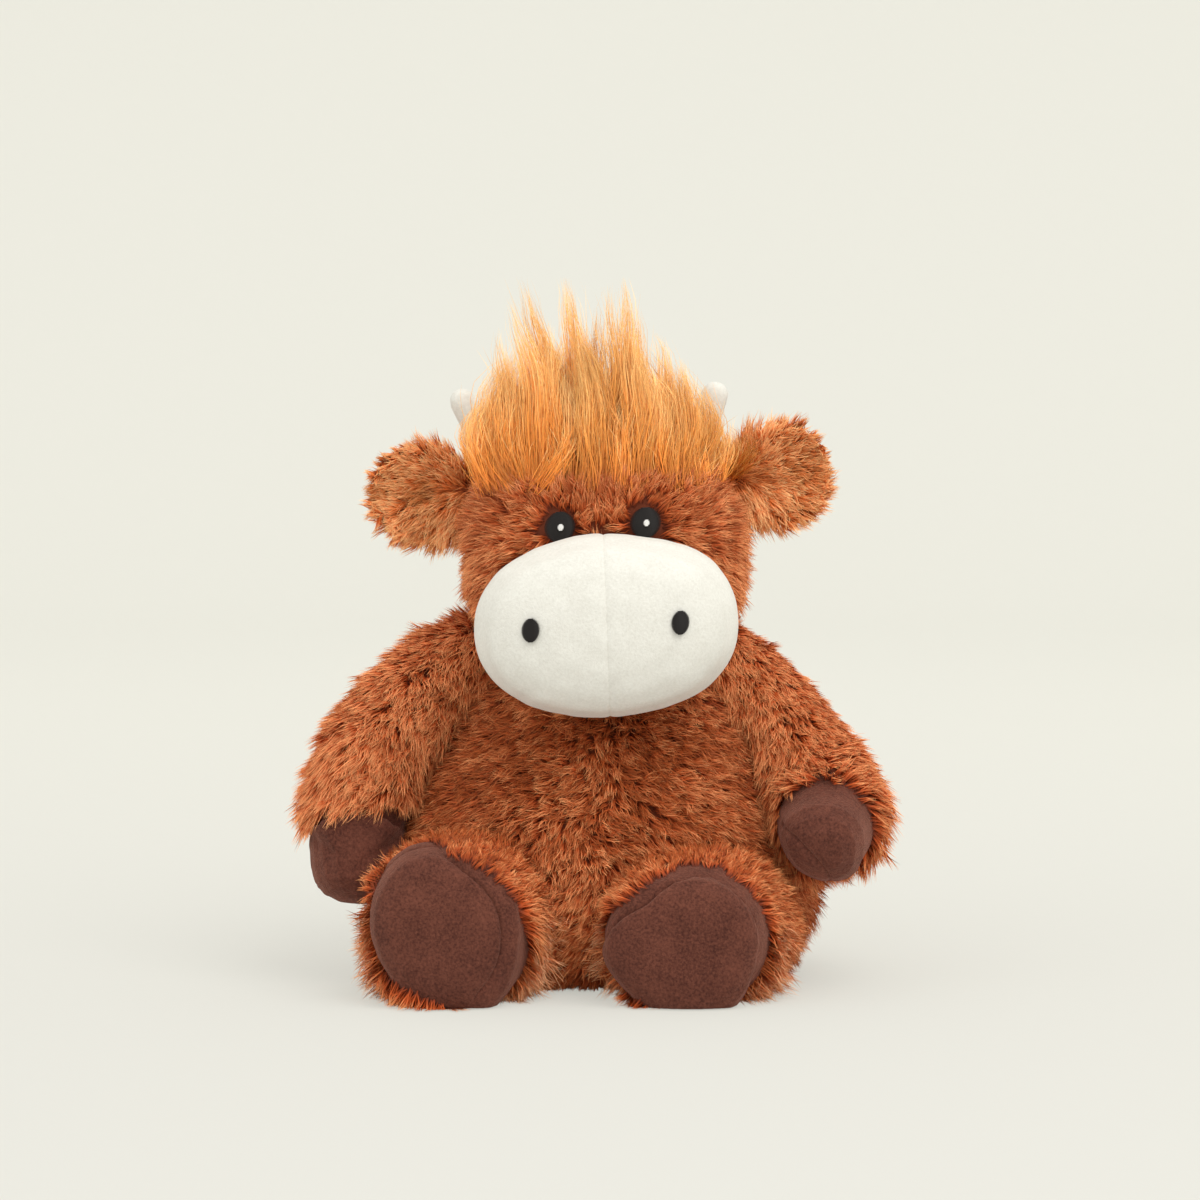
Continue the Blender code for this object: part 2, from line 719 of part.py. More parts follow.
def forelock_mesh(name):
    """A fan of hair with uneven peaks, thick at the strip that carries it and thin at the tips."""
    count_up, count_across = LOCK_GRID
    rows = smooth_rows(LOCK_SHARES, count_across)

    def place(i, j, behind):
        across, height, depth = rows[j]
        up = i / count_up
        thick = LOCK_DEPTH * depth * (1 - up) ** LOCK_THIN_POWER + LOCK_TIP
        sweep = LOCK_SWEEP * up
        front = LOCK_FRONT + (1 - depth) * LOCK_DEPTH * 2 + sweep
        flare = 1 - LOCK_WAIST_SHARE * math.sin(math.pi * up) * abs(across) - LOCK_TAPER_SHARE * up**2
        x = LOCK_SHIFT + across * LOCK_HALF_WIDTH * flare
        return Vector((x, front + thick * behind, LOCK_FOOT_HEIGHT + up * height * LOCK_HEIGHT))

    mesh = sheet_solid(
        name,
        count_up,
        count_across,
        lambda i, j: place(i, j, 0.0),
        lambda i, j: place(i, j, 1.0),
    )
    return in_head(mesh)


def oval_pad(name, centre, half_width, half_height, base, thickness, surface, material):
    """A thin pad of stitching that follows the surface under it."""
    pad = link_object(name, surface(name, base + thickness, SHOWN), material)
    foot = (centre[0], 2 * MUZZLE_RIM, centre[1])
    end = (centre[0], MUZZLE_BACK, centre[1])
    rod = in_head(rod_mesh(name + "_rod", foot, end, half_width, half_height))
    under = make_cutter(name + "_under", surface(name + "_under", base, SHOWN))
    carve(pad, [make_cutter(name + "_rod", rod)], "INTERSECT")
    carve(pad, [under])
    return pad


def half_space(name, point, normal):
    """A large box on the side of a plane that its normal points to."""
    reach = BODY_HALF_WIDTH * CUT_REACH_SHARE
    turn = Vector(normal).to_track_quat("Z", "Y").to_matrix().to_4x4()
    place = Matrix.Translation(point) @ turn
    return make_cutter(name, box_mesh(name, (-reach, -reach, 0), (reach, reach, reach), place))


def swung(mesh, hinge, angle):
    """The mesh turned about a line through the hinge that runs along Y."""
    place = Matrix.Translation(hinge)
    mesh.transform(place @ Matrix.Rotation(angle, 4, "Y") @ place.inverted())
    return mesh


def joint_empty(name, location):
    empty = bpy.data.objects.new(name, None)
    empty.location = location
    bpy.context.collection.objects.link(empty)
    return empty


def carry(empty, pieces):
    """The pieces turn with the empty, and stay where they are."""
    for piece in pieces:
        piece.parent = empty
        piece.matrix_parent_inverse = Matrix.Translation(-empty.location)


def build_body(materials, floor):
    skin = link_object("body_skin", body_mesh("body_skin", 0, SHOWN), materials["rust_fur"])
    inner = make_cutter("body_hollow", body_mesh("body_hollow", -FUR_WALL, HOLLOW))
    rise = BODY_SHOULDER_HEIGHT + BODY_NECK_RISE
    ring = [Vector((0, BODY_FORWARD, rise - BODY_NECK_RISE)), Vector((0, BODY_FORWARD, rise + OVERRUN))]
    sizes = [(NECK_BORE_RADIUS, NECK_BORE_RADIUS)] * 2
    bore_mesh = loft(
        "neck_bore",
        tube_sections(ring, sizes, Vector((1, 0, 0))),
        limb_outline,
        SMALL_AROUND,
        (OVERRUN, OVERRUN),
        ROUND_POWERS,
        1,
    )
    carve(skin, [inner, make_cutter("neck_bore", bore_mesh), floor])
    above = half_space("above_pouch", (0, 0, POUCH_HEIGHT - GAP), (0, 0, 1))
    below = half_space("below_filling", (0, 0, POUCH_HEIGHT), (0, 0, -1))
    filling_mesh = body_mesh("body_filling", -FUR_WALL - GAP, HOLLOW)
    filling = link_object("body_filling", filling_mesh, materials["fibre"])
    pouch = link_object("pellet_pouch", body_mesh("pellet_pouch", -FUR_WALL - GAP, HOLLOW), materials["pouch"])
    carve(filling, [below])
    carve(pouch, [above])
    return [skin, filling, pouch]


def build_head(materials, body_clear, head_clear):
    skin = link_object("head_skin", head_mesh("head_skin", 0, SHOWN), materials["rust_fur"])
    inner = make_cutter("head_hollow", head_mesh("head_hollow", -FUR_WALL, HOLLOW))
    carve(skin, [inner, body_clear])
    filling = link_object("head_filling", head_mesh("head_filling", -FUR_WALL - GAP, HOLLOW), materials["fibre"])
    carve(filling, [body_clear])
    pieces = [skin, filling]

    seam = head_matrix() @ Vector((MUZZLE_SHIFT, 0, HEAD_PIVOT_HEIGHT))
    across = head_matrix().to_3x3() @ Vector((1, 0, 0))
    hollow = make_cutter("muzzle_hollow", muzzle_mesh("muzzle_hollow", -VELOUR_WALL, HOLLOW))
    for name, side in (("muzzle_left", 1), ("muzzle_right", -1)):
        panel = link_object(name, muzzle_mesh(name, 0, SHOWN), materials["white_velour"])
        other = half_space(name + "_other_half", seam + across * (side * GAP / 2), across * -side)
        carve(panel, [hollow, head_clear, body_clear, other])
        pieces.append(panel)
    filling = link_object(
        "muzzle_filling",
        muzzle_mesh("muzzle_filling", -VELOUR_WALL - GAP, HOLLOW),
        materials["fibre"],
    )
    carve(filling, [head_clear, body_clear])
    pieces.append(filling)

    for name, side in (("left", 1), ("right", -1)):
        eye = (side * EYE_SPACING / 2, EYE_HEIGHT)
        glint = (eye[0] + GLINT_SHIFT, eye[1])
        nostril = (MUZZLE_SHIFT + side * NOSTRIL_SPACING / 2, NOSTRIL_HEIGHT)
        black, white = materials["black_thread"], materials["white_thread"]
        pieces += [
            oval_pad("eye_" + name, eye, EYE_HALF_WIDTH, EYE_HALF_HEIGHT, GAP, THREAD_THICKNESS, head_mesh, black),
            oval_pad(
                "eye_glint_" + name,
                glint,
                GLINT_RADIUS,
                GLINT_RADIUS,
                GAP + THREAD_THICKNESS + GAP,
                GLINT_THICKNESS,
                head_mesh,
                white,
            ),
            oval_pad(
                "nostril_" + name,
                nostril,
                NOSTRIL_HALF_WIDTH,
                NOSTRIL_HALF_HEIGHT,
                GAP,
                THREAD_THICKNESS,
                muzzle_mesh,
                black,
            ),
        ]
        horn = link_object("horn_" + name, horn_mesh("horn_" + name, side), materials["white_velour"])
        carve(horn, [head_clear])
        pieces.append(horn)
    lock = link_object("forelock", forelock_mesh("forelock"), materials["gold_hair"])
    carve(lock, [head_clear])
    pieces.append(lock)
    return pieces


def build_ear(name, side, materials):
    panels = []
    for face in ("front", "back"):
        panel_name = "ear_" + name + "_" + face
        mesh = ear_panel_mesh(panel_name, side, face == "front")
        panels.append(link_object(panel_name, mesh, materials["rust_fur"]))
    return panels


def build_arm(name, side, hinge, materials, body_clear):
    """The sleeve tucks in flat under the head's lower edge, and is cut back by the head at each step of its lift."""
    left = side > 0
    if left:
        cuff = Vector((0, LEFT_CUFF_BACK - LEFT_ARM_FORWARD, 0))
        ahead = Vector((0, -1, 0))
    else:
        cuff = Vector((0, 0, SHOULDER_HEIGHT - RIGHT_CUFF_DROP))
        ahead = Vector((0, 0, -1))
    edge = Vector((side * (HEAD_HALF_WIDTH * HEAD_SHARES[0][1] + ARM_TUCK_GAP), 0, HEAD_BASE_HEIGHT))
    inward = head_matrix().to_3x3() @ Vector((-side, 0, 1))
    head_clear = [half_space("under_head_" + name, head_matrix() @ edge, inward)]
    for step in range(ARM_SWING_STEPS + 1):
        cutter_name = "head_swing_" + name + "_" + str(step)
        angle = side * ARM_LIFT * step / ARM_SWING_STEPS
        head_clear.append(make_cutter(cutter_name, swung(head_mesh(cutter_name, 2 * GAP, SHOWN), hinge, angle)))
    hollow = make_cutter("arm_hollow_" + name, arm_mesh("arm_hollow_" + name, side, -FUR_WALL, HOLLOW))
    past = half_space("past_cuff_" + name, cuff, ahead)
    before = half_space("before_cuff_" + name, cuff + ahead * GAP, -ahead)
    skin = link_object("arm_skin_" + name, arm_mesh("arm_skin_" + name, side, 0, SHOWN), materials["rust_fur"])
    carve(skin, [hollow, past, body_clear, *head_clear])
    hoof = link_object("hoof_" + name, arm_mesh("hoof_" + name, side, 0, SHOWN), materials["brown_velour"])
    carve(hoof, [hollow, before, body_clear])
    filling = link_object(
        "arm_filling_" + name,
        arm_mesh("arm_filling_" + name, side, -FUR_WALL - GAP, HOLLOW),
        materials["fibre"],
    )
    carve(filling, [body_clear, *head_clear])
    return [skin, hoof, filling]


def build_leg(name, side, materials, body_clear, floor):
    left = side > 0
    toe = HIP_FORWARD + LEG_LENGTH
    cuff = Vector((0, LEG_CUFF_BACK - toe, 0))
    ahead = Vector((0, -1, 0))
    turn = LEFT_SOLE_TURN if left else RIGHT_SOLE_TURN
    tip = LEFT_SOLE_TIP if left else 0
    sole_ahead = Matrix.Rotation(-turn, 3, "Z") @ Matrix.Rotation(tip, 3, "X") @ ahead
    forward = toe - (LEFT_SOLE_BACK if left else RIGHT_SOLE_BACK)
    spread = LEFT_LEG_SPREAD if left else RIGHT_LEG_SPREAD
    sole = Vector((side * (HIP_HALF_SPACING + spread), -forward, LEG_HALF_HEIGHT))
    hollow = make_cutter("leg_hollow_" + name, leg_mesh("leg_hollow_" + name, side, -FUR_WALL, HOLLOW))
    past_cuff = half_space("past_leg_cuff_" + name, cuff, ahead)
    before_cuff = half_space("before_leg_cuff_" + name, cuff + ahead * GAP, -ahead)
    behind_hip = half_space("behind_hip_" + name, (0, -HIP_HINGE_FORWARD, 0), (0, 1, 0))
    past_sole = half_space("past_sole_" + name, sole, sole_ahead)
    before_sole = half_space("before_sole_" + name, sole + sole_ahead * GAP, -sole_ahead)
    skin = link_object("leg_skin_" + name, leg_mesh("leg_skin_" + name, side, 0, SHOWN), materials["rust_fur"])
    carve(skin, [hollow, past_cuff, body_clear, behind_hip, floor])
    velour = materials["brown_velour"]
    upper = link_object("foot_upper_" + name, leg_mesh("foot_upper_" + name, side, 0, SHOWN), velour)
    carve(upper, [hollow, before_cuff, past_sole, body_clear, floor])
    bottom = link_object("foot_sole_" + name, leg_mesh("foot_sole_" + name, side, 0, SHOWN), velour)
    carve(bottom, [hollow, before_sole, floor])
    filling = link_object(
        "leg_filling_" + name,
        leg_mesh("leg_filling_" + name, side, -FUR_WALL - GAP, HOLLOW),
        materials["fibre"],
    )
    carve(filling, [body_clear, behind_hip])
    return [skin, upper, bottom, filling]


def build_tail(materials, body_clear):
    tail = link_object("tail", tail_mesh("tail"), materials["rust_fur"])
    tuft = link_object("tail_tuft", tuft_mesh("tail_tuft"), materials["gold_hair"])
    carve(tail, [body_clear])
    carve(tuft, [body_clear])
    return [tail, tuft]


def build_cow():
    clear_scene()
    materials = {
        "rust_fur": make_material("rust_fur", RUST_FUR, FUR_ROUGHNESS),
        "gold_hair": make_material("gold_hair", GOLD_HAIR, HAIR_ROUGHNESS),
        "white_velour": make_material("white_velour", WHITE_VELOUR, VELOUR_ROUGHNESS),
        "brown_velour": make_material("brown_velour", BROWN_VELOUR, VELOUR_ROUGHNESS),
        "black_thread": make_material("black_thread", BLACK_THREAD, THREAD_ROUGHNESS),
        "white_thread": make_material("white_thread", WHITE_THREAD, THREAD_ROUGHNESS),
        "fibre": make_material("fibre", FIBRE_FILLING, FIBRE_ROUGHNESS),
        "pouch": make_material("pouch", POUCH_CLOTH, FIBRE_ROUGHNESS),
    }
    floor = half_space("floor_cut", (0, 0, 0), (0, 0, -1))
    body_clear = make_cutter("body_clearance", body_mesh("body_clearance", GAP, SHOWN))
    head_clear = make_cutter("head_clearance", head_mesh("head_clearance", GAP, SHOWN))
    build_body(materials, floor)
    neck = joint_empty("neck_hinge", (0, NECK_HINGE_BACK, NECK_HINGE_HEIGHT))
    carry(neck, build_head(materials, body_clear, head_clear))
    for name, side in (("left", 1), ("right", -1)):
        ear_root = head_matrix() @ Vector((side * ear_seam_out(), EAR_BACK, EAR_HEIGHT))
        carry(joint_empty("ear_hinge_" + name, ear_root), build_ear(name, side, materials))
        shoulder = Vector((side * SHOULDER_HINGE_OUT, 0, SHOULDER_HINGE_HEIGHT))
        arm = build_arm(name, side, shoulder, materials, body_clear)
        carry(joint_empty("shoulder_hinge_" + name, shoulder), arm)
        hip = (side * HIP_HALF_SPACING, -HIP_HINGE_FORWARD, HIP_HINGE_HEIGHT)
        carry(joint_empty("hip_hinge_" + name, hip), build_leg(name, side, materials, body_clear, floor))
    tail_root = joint_empty("tail_hinge", (0, TAIL_HINGE_BACK, TAIL_HINGE_HEIGHT))
    carry(tail_root, build_tail(materials, body_clear))


build_cow()
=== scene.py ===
# Plush cow, sitting: the dressed model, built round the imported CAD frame.
import math

import bmesh
import bpy
import numpy as np
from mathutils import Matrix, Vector
from mathutils.bvhtree import BVHTree


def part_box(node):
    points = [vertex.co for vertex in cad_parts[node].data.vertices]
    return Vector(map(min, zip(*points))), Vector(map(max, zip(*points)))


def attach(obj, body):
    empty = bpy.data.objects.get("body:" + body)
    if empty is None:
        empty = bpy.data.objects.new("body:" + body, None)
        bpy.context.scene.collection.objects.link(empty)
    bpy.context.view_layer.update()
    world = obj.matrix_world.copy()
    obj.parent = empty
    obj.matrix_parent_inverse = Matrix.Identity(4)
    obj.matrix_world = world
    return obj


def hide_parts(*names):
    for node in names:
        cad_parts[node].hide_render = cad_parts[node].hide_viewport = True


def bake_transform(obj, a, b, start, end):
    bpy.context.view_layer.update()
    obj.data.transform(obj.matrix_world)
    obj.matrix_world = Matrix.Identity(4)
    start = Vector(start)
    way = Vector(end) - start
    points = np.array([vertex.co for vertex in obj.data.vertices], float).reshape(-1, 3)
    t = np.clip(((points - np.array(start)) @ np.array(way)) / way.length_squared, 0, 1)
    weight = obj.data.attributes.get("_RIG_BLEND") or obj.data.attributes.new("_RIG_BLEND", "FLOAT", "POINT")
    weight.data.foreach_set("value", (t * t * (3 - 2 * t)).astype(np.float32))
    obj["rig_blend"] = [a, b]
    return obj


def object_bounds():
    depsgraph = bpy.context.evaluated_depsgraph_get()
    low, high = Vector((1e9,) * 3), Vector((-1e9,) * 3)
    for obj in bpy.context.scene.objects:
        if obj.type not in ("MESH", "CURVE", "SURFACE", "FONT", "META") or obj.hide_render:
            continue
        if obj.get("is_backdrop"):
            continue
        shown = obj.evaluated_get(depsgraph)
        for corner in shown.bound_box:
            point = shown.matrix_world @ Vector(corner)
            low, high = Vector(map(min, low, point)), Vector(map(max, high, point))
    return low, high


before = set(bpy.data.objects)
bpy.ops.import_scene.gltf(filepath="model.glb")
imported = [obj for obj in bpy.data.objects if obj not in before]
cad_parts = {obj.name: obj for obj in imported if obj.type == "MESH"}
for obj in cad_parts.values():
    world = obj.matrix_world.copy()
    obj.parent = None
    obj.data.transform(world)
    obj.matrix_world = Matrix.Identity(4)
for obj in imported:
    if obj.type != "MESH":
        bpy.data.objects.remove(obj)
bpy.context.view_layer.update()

# ---------------------------------------------------------------------------
# The studio: one seamless pale sweep that rises behind the toy, a large soft lamp
# at the viewer's upper right, a weaker one at the left, and the photographer's
# long lens, set as high as the toy's hair and tilted a little down.
# ---------------------------------------------------------------------------
LENS_FROM = Vector((0.0, -1.7945, 0.3160))
LENS_AT = Vector((0.0, 0.0, 0.1748))
LENS_LENGTH = 114.9
SENSOR_WIDTH = 36.0
SWEEP_WIDTH = 16.0
SWEEP_FRONT = -8.0
SWEEP_BACK = 1.9
SWEEP_BEND = 0.9
SWEEP_HEIGHT = 3.2
BEND_STEPS = 16
FLOOR_FADE = -0.4
WALL_FADE = 1.4
PAPER_GLOW = 0.6


def tint(red, green, blue):
    """A colour read as 0 to 255, as the shader's linear values."""
    share = [v / 255 for v in (red, green, blue)]
    return tuple(
        v / 12.92 if v <= 0.04045 else ((v + 0.055) / 1.055) ** 2.4 for v in share
    ) + (1.0,)


def set_inputs(tree, node, inputs):
    """Gives each named input a value, or a link from another node's output."""
    for name, value in inputs.items():
        if isinstance(value, bpy.types.NodeSocket):
            tree.links.new(value, node.inputs[name])
        else:
            node.inputs[name].default_value = value


def add_node(tree, kind, inputs=(), **settings):
    node = tree.nodes.new("ShaderNode" + kind)
    for name, value in settings.items():
        setattr(node, name, value)
    set_inputs(tree, node, dict(inputs))
    return node


def ranged(tree, value, low, high, to_low=0.0, to_high=1.0, kind="LINEAR"):
    """A value taken from one range to another, and held at its ends."""
    limits = {"From Min": low, "From Max": high, "To Min": to_low, "To Max": to_high}
    node = add_node(
        tree, "MapRange", {"Value": value, **limits}, interpolation_type=kind
    )
    return node.outputs["Result"]


def mixed(tree, share, first, second, kind="MIX"):
    """Two colours mixed by a share."""
    inputs = {"Factor": share, "A": first, "B": second}
    node = add_node(tree, "Mix", inputs, data_type="RGBA", blend_type=kind)
    return node.outputs["Result"]


def worked(tree, operation, *values):
    """A sum worked out on values."""
    node = add_node(tree, "Math", dict(enumerate(values)), operation=operation)
    return node.outputs["Value"]


def new_material(name):
    made = bpy.data.materials.new(name)
    made.use_nodes = True
    return made, made.node_tree, made.node_tree.nodes["Principled BSDF"]


def lamp(name, place, aim, size, watts, colour):
    light = bpy.data.lights.new(name, "AREA")
    light.shape = "DISK"
    light.size = size
    light.energy = watts
    light.color = colour
    holder = bpy.data.objects.new(name, light)
    holder.location = place
    holder.rotation_mode = "QUATERNION"
    holder.rotation_quaternion = (Vector(aim) - Vector(place)).to_track_quat("-Z", "Y")
    bpy.context.scene.collection.objects.link(holder)


scene = bpy.context.scene
scene.view_settings.view_transform = "Standard"
lens = bpy.data.cameras.new("studio_lens")
lens.lens = LENS_LENGTH
lens.sensor_width = SENSOR_WIDTH
tripod = bpy.data.objects.new("studio_lens", lens)
tripod.location = LENS_FROM
tripod.rotation_mode = "QUATERNION"
tripod.rotation_quaternion = (LENS_AT - LENS_FROM).to_track_quat("-Z", "Y")
scene.collection.objects.link(tripod)
scene.camera = tripod

lamp("key_lamp", (0.95, -1.15, 2.0), (0, 0, 0.13), 1.9, 27, (1.0, 0.985, 0.955))
lamp("side_lamp", (-1.6, -1.2, 1.3), (0, 0, 0.15), 1.6, 6, (1.0, 0.99, 0.97))

world = bpy.data.worlds.new("studio_air")
scene.world = world
world.use_nodes = True
air = world.node_tree
air_light = air.nodes["Background"]
set_inputs(air, air_light, {"Color": (1.0, 0.992, 0.965, 1.0), "Strength": 0.95})
air_seen = add_node(air, "Background", {"Color": tint(235, 234, 223)}).outputs[0]
air_ray = add_node(air, "LightPath").outputs["Is Camera Ray"]
air_mix = add_node(air, "MixShader", {0: air_ray, 1: air_light.outputs[0], 2: air_seen})
set_inputs(air, air.nodes["World Output"], {"Surface": air_mix.outputs[0]})

profile = [(SWEEP_FRONT, 0.0)]
for step in range(BEND_STEPS + 1):
    turn = math.pi / 2 * step / BEND_STEPS
    profile.append(
        (SWEEP_BACK + SWEEP_BEND * math.sin(turn), SWEEP_BEND * (1 - math.cos(turn)))
    )
profile.append((SWEEP_BACK + SWEEP_BEND, SWEEP_HEIGHT))
sweep_mesh = bpy.data.meshes.new("paper_sweep")
sweep_mesh.from_pydata(
    [(side * SWEEP_WIDTH / 2, y, z) for y, z in profile for side in (-1, 1)], [],
    [(2 * i, 2 * i + 1, 2 * i + 3, 2 * i + 2) for i in range(len(profile) - 1)],
)
sweep_mesh.shade_smooth()
paper_sweep = bpy.data.objects.new("paper_sweep", sweep_mesh)
scene.collection.objects.link(paper_sweep)
paper, paper_tree, paper_shader = new_material("pale_paper")
paper_place = add_node(paper_tree, "TexCoord").outputs["Object"]
paper_depth = add_node(
    paper_tree, "VectorMath", {0: paper_place, 1: (0.0, 1.0, 1.0)},
    operation="DOT_PRODUCT",
).outputs["Value"]
paper_fade = ranged(paper_tree, paper_depth, FLOOR_FADE, WALL_FADE, kind="SMOOTHSTEP")
paper_tone = mixed(paper_tree, paper_fade, tint(212, 211, 206), tint(236, 235, 226))
paper_gloss = {"Roughness": 0.9, "Specular IOR Level": 0.1}
set_inputs(paper_tree, paper_shader, {"Base Color": paper_tone, **paper_gloss})
paper_glow = add_node(paper_tree, "Emission", {"Color": tint(235, 234, 224)})
paper_path = add_node(paper_tree, "LightPath").outputs["Is Camera Ray"]
paper_share = worked(paper_tree, "MULTIPLY", paper_path, PAPER_GLOW)
paper_parts = (paper_share, paper_shader.outputs["BSDF"], paper_glow.outputs[0])
paper_both = add_node(paper_tree, "MixShader", dict(enumerate(paper_parts)))
paper_end = paper_tree.nodes["Material Output"]
set_inputs(paper_tree, paper_end, {"Surface": paper_both.outputs["Shader"]})
sweep_mesh.materials.append(paper)
paper_sweep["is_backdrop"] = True

# ---------------------------------------------------------------------------
# The body: a sack of long-pile rust plush, stuffed with fibre round a pellet pouch.
# The backing cloth is one closed skin, and the pile is thousands of fine fibres that
# lock into small tufts. It parts down the belly and falls to both sides.
# ---------------------------------------------------------------------------
FAR = 0.4
SKIN_VOXEL = 0.003
SKIN_INSET = 0.0024
STUFFING_GAP = 0.0007
SEWN_GAP = 0.0019
TUFT_SPACING = 0.0023
TUFT_FIBRES = 13
ROOT_TRIES = 3.2
ROOT_CELL = 1.12
CELL_KEY = 4001
DRIFT_WAVES = 7
DRIFT_SIZE = 3.2
WAVE_RANGE = (0.6, 1.5)
TUFT_REACH = 0.0019
TUFT_OVAL = 1.25
TUFT_LEAN = 0.16
TUFT_TONE = 0.15
REACH_RANGE = (0.65, 1.4)
LENGTH_RANGE = (0.68, 1.22)
LOOSE_SHARE = 0.14
LOOSE_GATHER = 0.1
STRAND_LENGTH = (0.72, 1.08)
STRAND_LEAN = 0.09
STRAND_SWAY = 0.10
STRAND_CURL = 0.07
STRAND_TONE = 0.10
STRAND_POINTS = (0.0, 0.52, 1.0)
STRAND_TAPER = (0.95, 0.85, 0.0)
STRAND_WIDTH = 0.00058
WIDTH_RANGE = (0.75, 1.25)
MOST_STRANDS = 32000
FOLD_RISE = 0.6
CLUMP_ROUND = 0.95
FLOOR_CLEAR = 0.0006
BODY_PILE = 0.0118
BODY_PARTING_X = 0.0015


def link_mesh(name, mesh, material=None):
    piece = bpy.data.objects.new(name, mesh)
    bpy.context.scene.collection.objects.link(piece)
    if material is not None:
        mesh.materials.append(material)
    return piece


def node_shape(*names):
    """The points and faces of CAD nodes, as one list."""
    points, faces = [], []
    for name in names:
        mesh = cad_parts[name].data
        first = len(points)
        points += [tuple(v.co) for v in mesh.vertices]
        faces += [tuple(first + i for i in face.vertices) for face in mesh.polygons]
    return points, faces


def settle_modifiers(piece):
    """Turns the piece's modifiers into its mesh."""
    graph = bpy.context.evaluated_depsgraph_get()
    made = bpy.data.meshes.new_from_object(piece.evaluated_get(graph))
    piece.modifiers.clear()
    old = piece.data
    piece.data = made
    bpy.data.meshes.remove(old)


def stuffed_skin(
    name, nodes, material, voxel=SKIN_VOXEL, inset=SKIN_INSET, smooth=8, sewn=None,
    plug=(0.0, 0.0, 0.0), covered=-FAR,
):
    """One closed cloth skin round the given nodes, a little inside their surface."""
    points, faces = node_shape(*nodes)
    stuffing = [node for node in nodes if "filling" in node]
    if sewn:
        more, more_faces = node_shape(*stuffing)
        more = np.array(more)
        more[sewn(more)] += np.array(plug)
        faces += [tuple(len(points) + i for i in face) for face in more_faces]
        points += [tuple(point) for point in more]
    mesh = bpy.data.meshes.new(name)
    mesh.from_pydata(points, [], faces)
    piece = link_mesh(name, mesh)
    remesh = piece.modifiers.new("one_skin", "REMESH")
    remesh.mode = "VOXEL"
    remesh.voxel_size = voxel
    soften = piece.modifiers.new("soften", "SMOOTH")
    soften.factor = 0.5
    soften.iterations = smooth
    sink = piece.modifiers.new("below_the_pile", "DISPLACE")
    sink.strength = -inset
    sink.mid_level = 0.0
    settle_modifiers(piece)
    points = np.array([vert.co for vert in piece.data.vertices])
    if stuffing:
        gap = np.full(len(points), STUFFING_GAP)
        if sewn:
            gap[sewn(points)] = SEWN_GAP
        gap[points[:, 1] < covered] = -SKIN_VOXEL
        points = clear_of(points, stuffing, gap)
    points[:, 2] = np.maximum(points[:, 2], FLOOR_CLEAR)
    piece.data.vertices.foreach_set("co", points.reshape(-1).astype(np.float32))
    piece.data.materials.clear()
    piece.data.materials.append(material)
    piece.data.shade_smooth()
    return piece


def clear_of(points, names, gap=STUFFING_GAP):
    """Points pushed out to a small gap round the named nodes, where they lie nearer."""
    tree = BVHTree.FromPolygons(*node_shape(*names))
    cleared = np.array(points, float)
    gaps = np.broadcast_to(gap, len(cleared))
    for number, (point, gap) in enumerate(zip(cleared, gaps)):
        place, normal, _, _ = tree.find_nearest(Vector(point))
        if (Vector(point) - place).dot(normal) < gap:
            cleared[number] = place + normal * gap
    return cleared


def mesh_arrays(mesh):
    mesh.calc_loop_triangles()
    points = np.empty(len(mesh.vertices) * 3, np.float32)
    mesh.vertices.foreach_get("co", points)
    normals = np.empty(len(mesh.vertices) * 3, np.float32)
    mesh.vertices.foreach_get("normal", normals)
    corners = np.empty(len(mesh.loop_triangles) * 3, np.int32)
    mesh.loop_triangles.foreach_get("vertices", corners)
    return points.reshape(-1, 3), normals.reshape(-1, 3), corners.reshape(-1, 3)


def unit(vectors):
    size = np.linalg.norm(vectors, axis=-1, keepdims=True)
    return vectors / np.maximum(size, 1e-9)


def ramp(value, start, width):
    """0 up to the start, and 1 from one width beyond it."""
    return np.clip((value - start) / width, 0, 1)


def rooted(skin, dice, spacing=TUFT_SPACING):
    """Evenly scattered tuft places on a skin: points and outward normals."""
    points, normals, corners = mesh_arrays(skin.data)
    a, b, c = (points[corners[:, k]] for k in range(3))
    areas = np.linalg.norm(np.cross(b - a, c - a), axis=1) / 2
    count = int(areas.sum() / spacing**2 * ROOT_TRIES)
    picked = dice.choice(len(corners), count, p=areas / areas.sum())
    u, v = dice.random((2, count))
    over = u + v > 1
    u[over], v[over] = 1 - u[over], 1 - v[over]
    w = 1 - u - v
    places = a[picked] * w[:, None] + b[picked] * u[:, None] + c[picked] * v[:, None]
    facing = unit(
        normals[corners[picked, 0]] * w[:, None]
        + normals[corners[picked, 1]] * u[:, None]
        + normals[corners[picked, 2]] * v[:, None]
    )
    cells = np.floor(places / (spacing * ROOT_CELL)).astype(np.int64)
    keys = (cells[:, 0] * CELL_KEY + cells[:, 1]) * CELL_KEY + cells[:, 2]
    _, first = np.unique(keys, return_index=True)
    return places[first].astype(float), facing[first].astype(float)


def drift(points, scale, seed):
    """A smooth random field from -1 to 1 over space."""
    dice = np.random.default_rng(seed)
    total = np.zeros(len(points))
    for _ in range(DRIFT_WAVES):
        wave = unit(dice.normal(size=3)) / scale * dice.uniform(*WAVE_RANGE)
        total += np.sin(points @ wave * 2 * math.pi + dice.uniform(0, 6.28))
    return total / DRIFT_SIZE


def nearest_gap(points, names):
    tree = BVHTree.FromPolygons(*node_shape(*names))
    found = (tree.find_nearest(p) for p in points)
    return np.array([hit[3] if hit[0] is not None else 1.0 for hit in found])


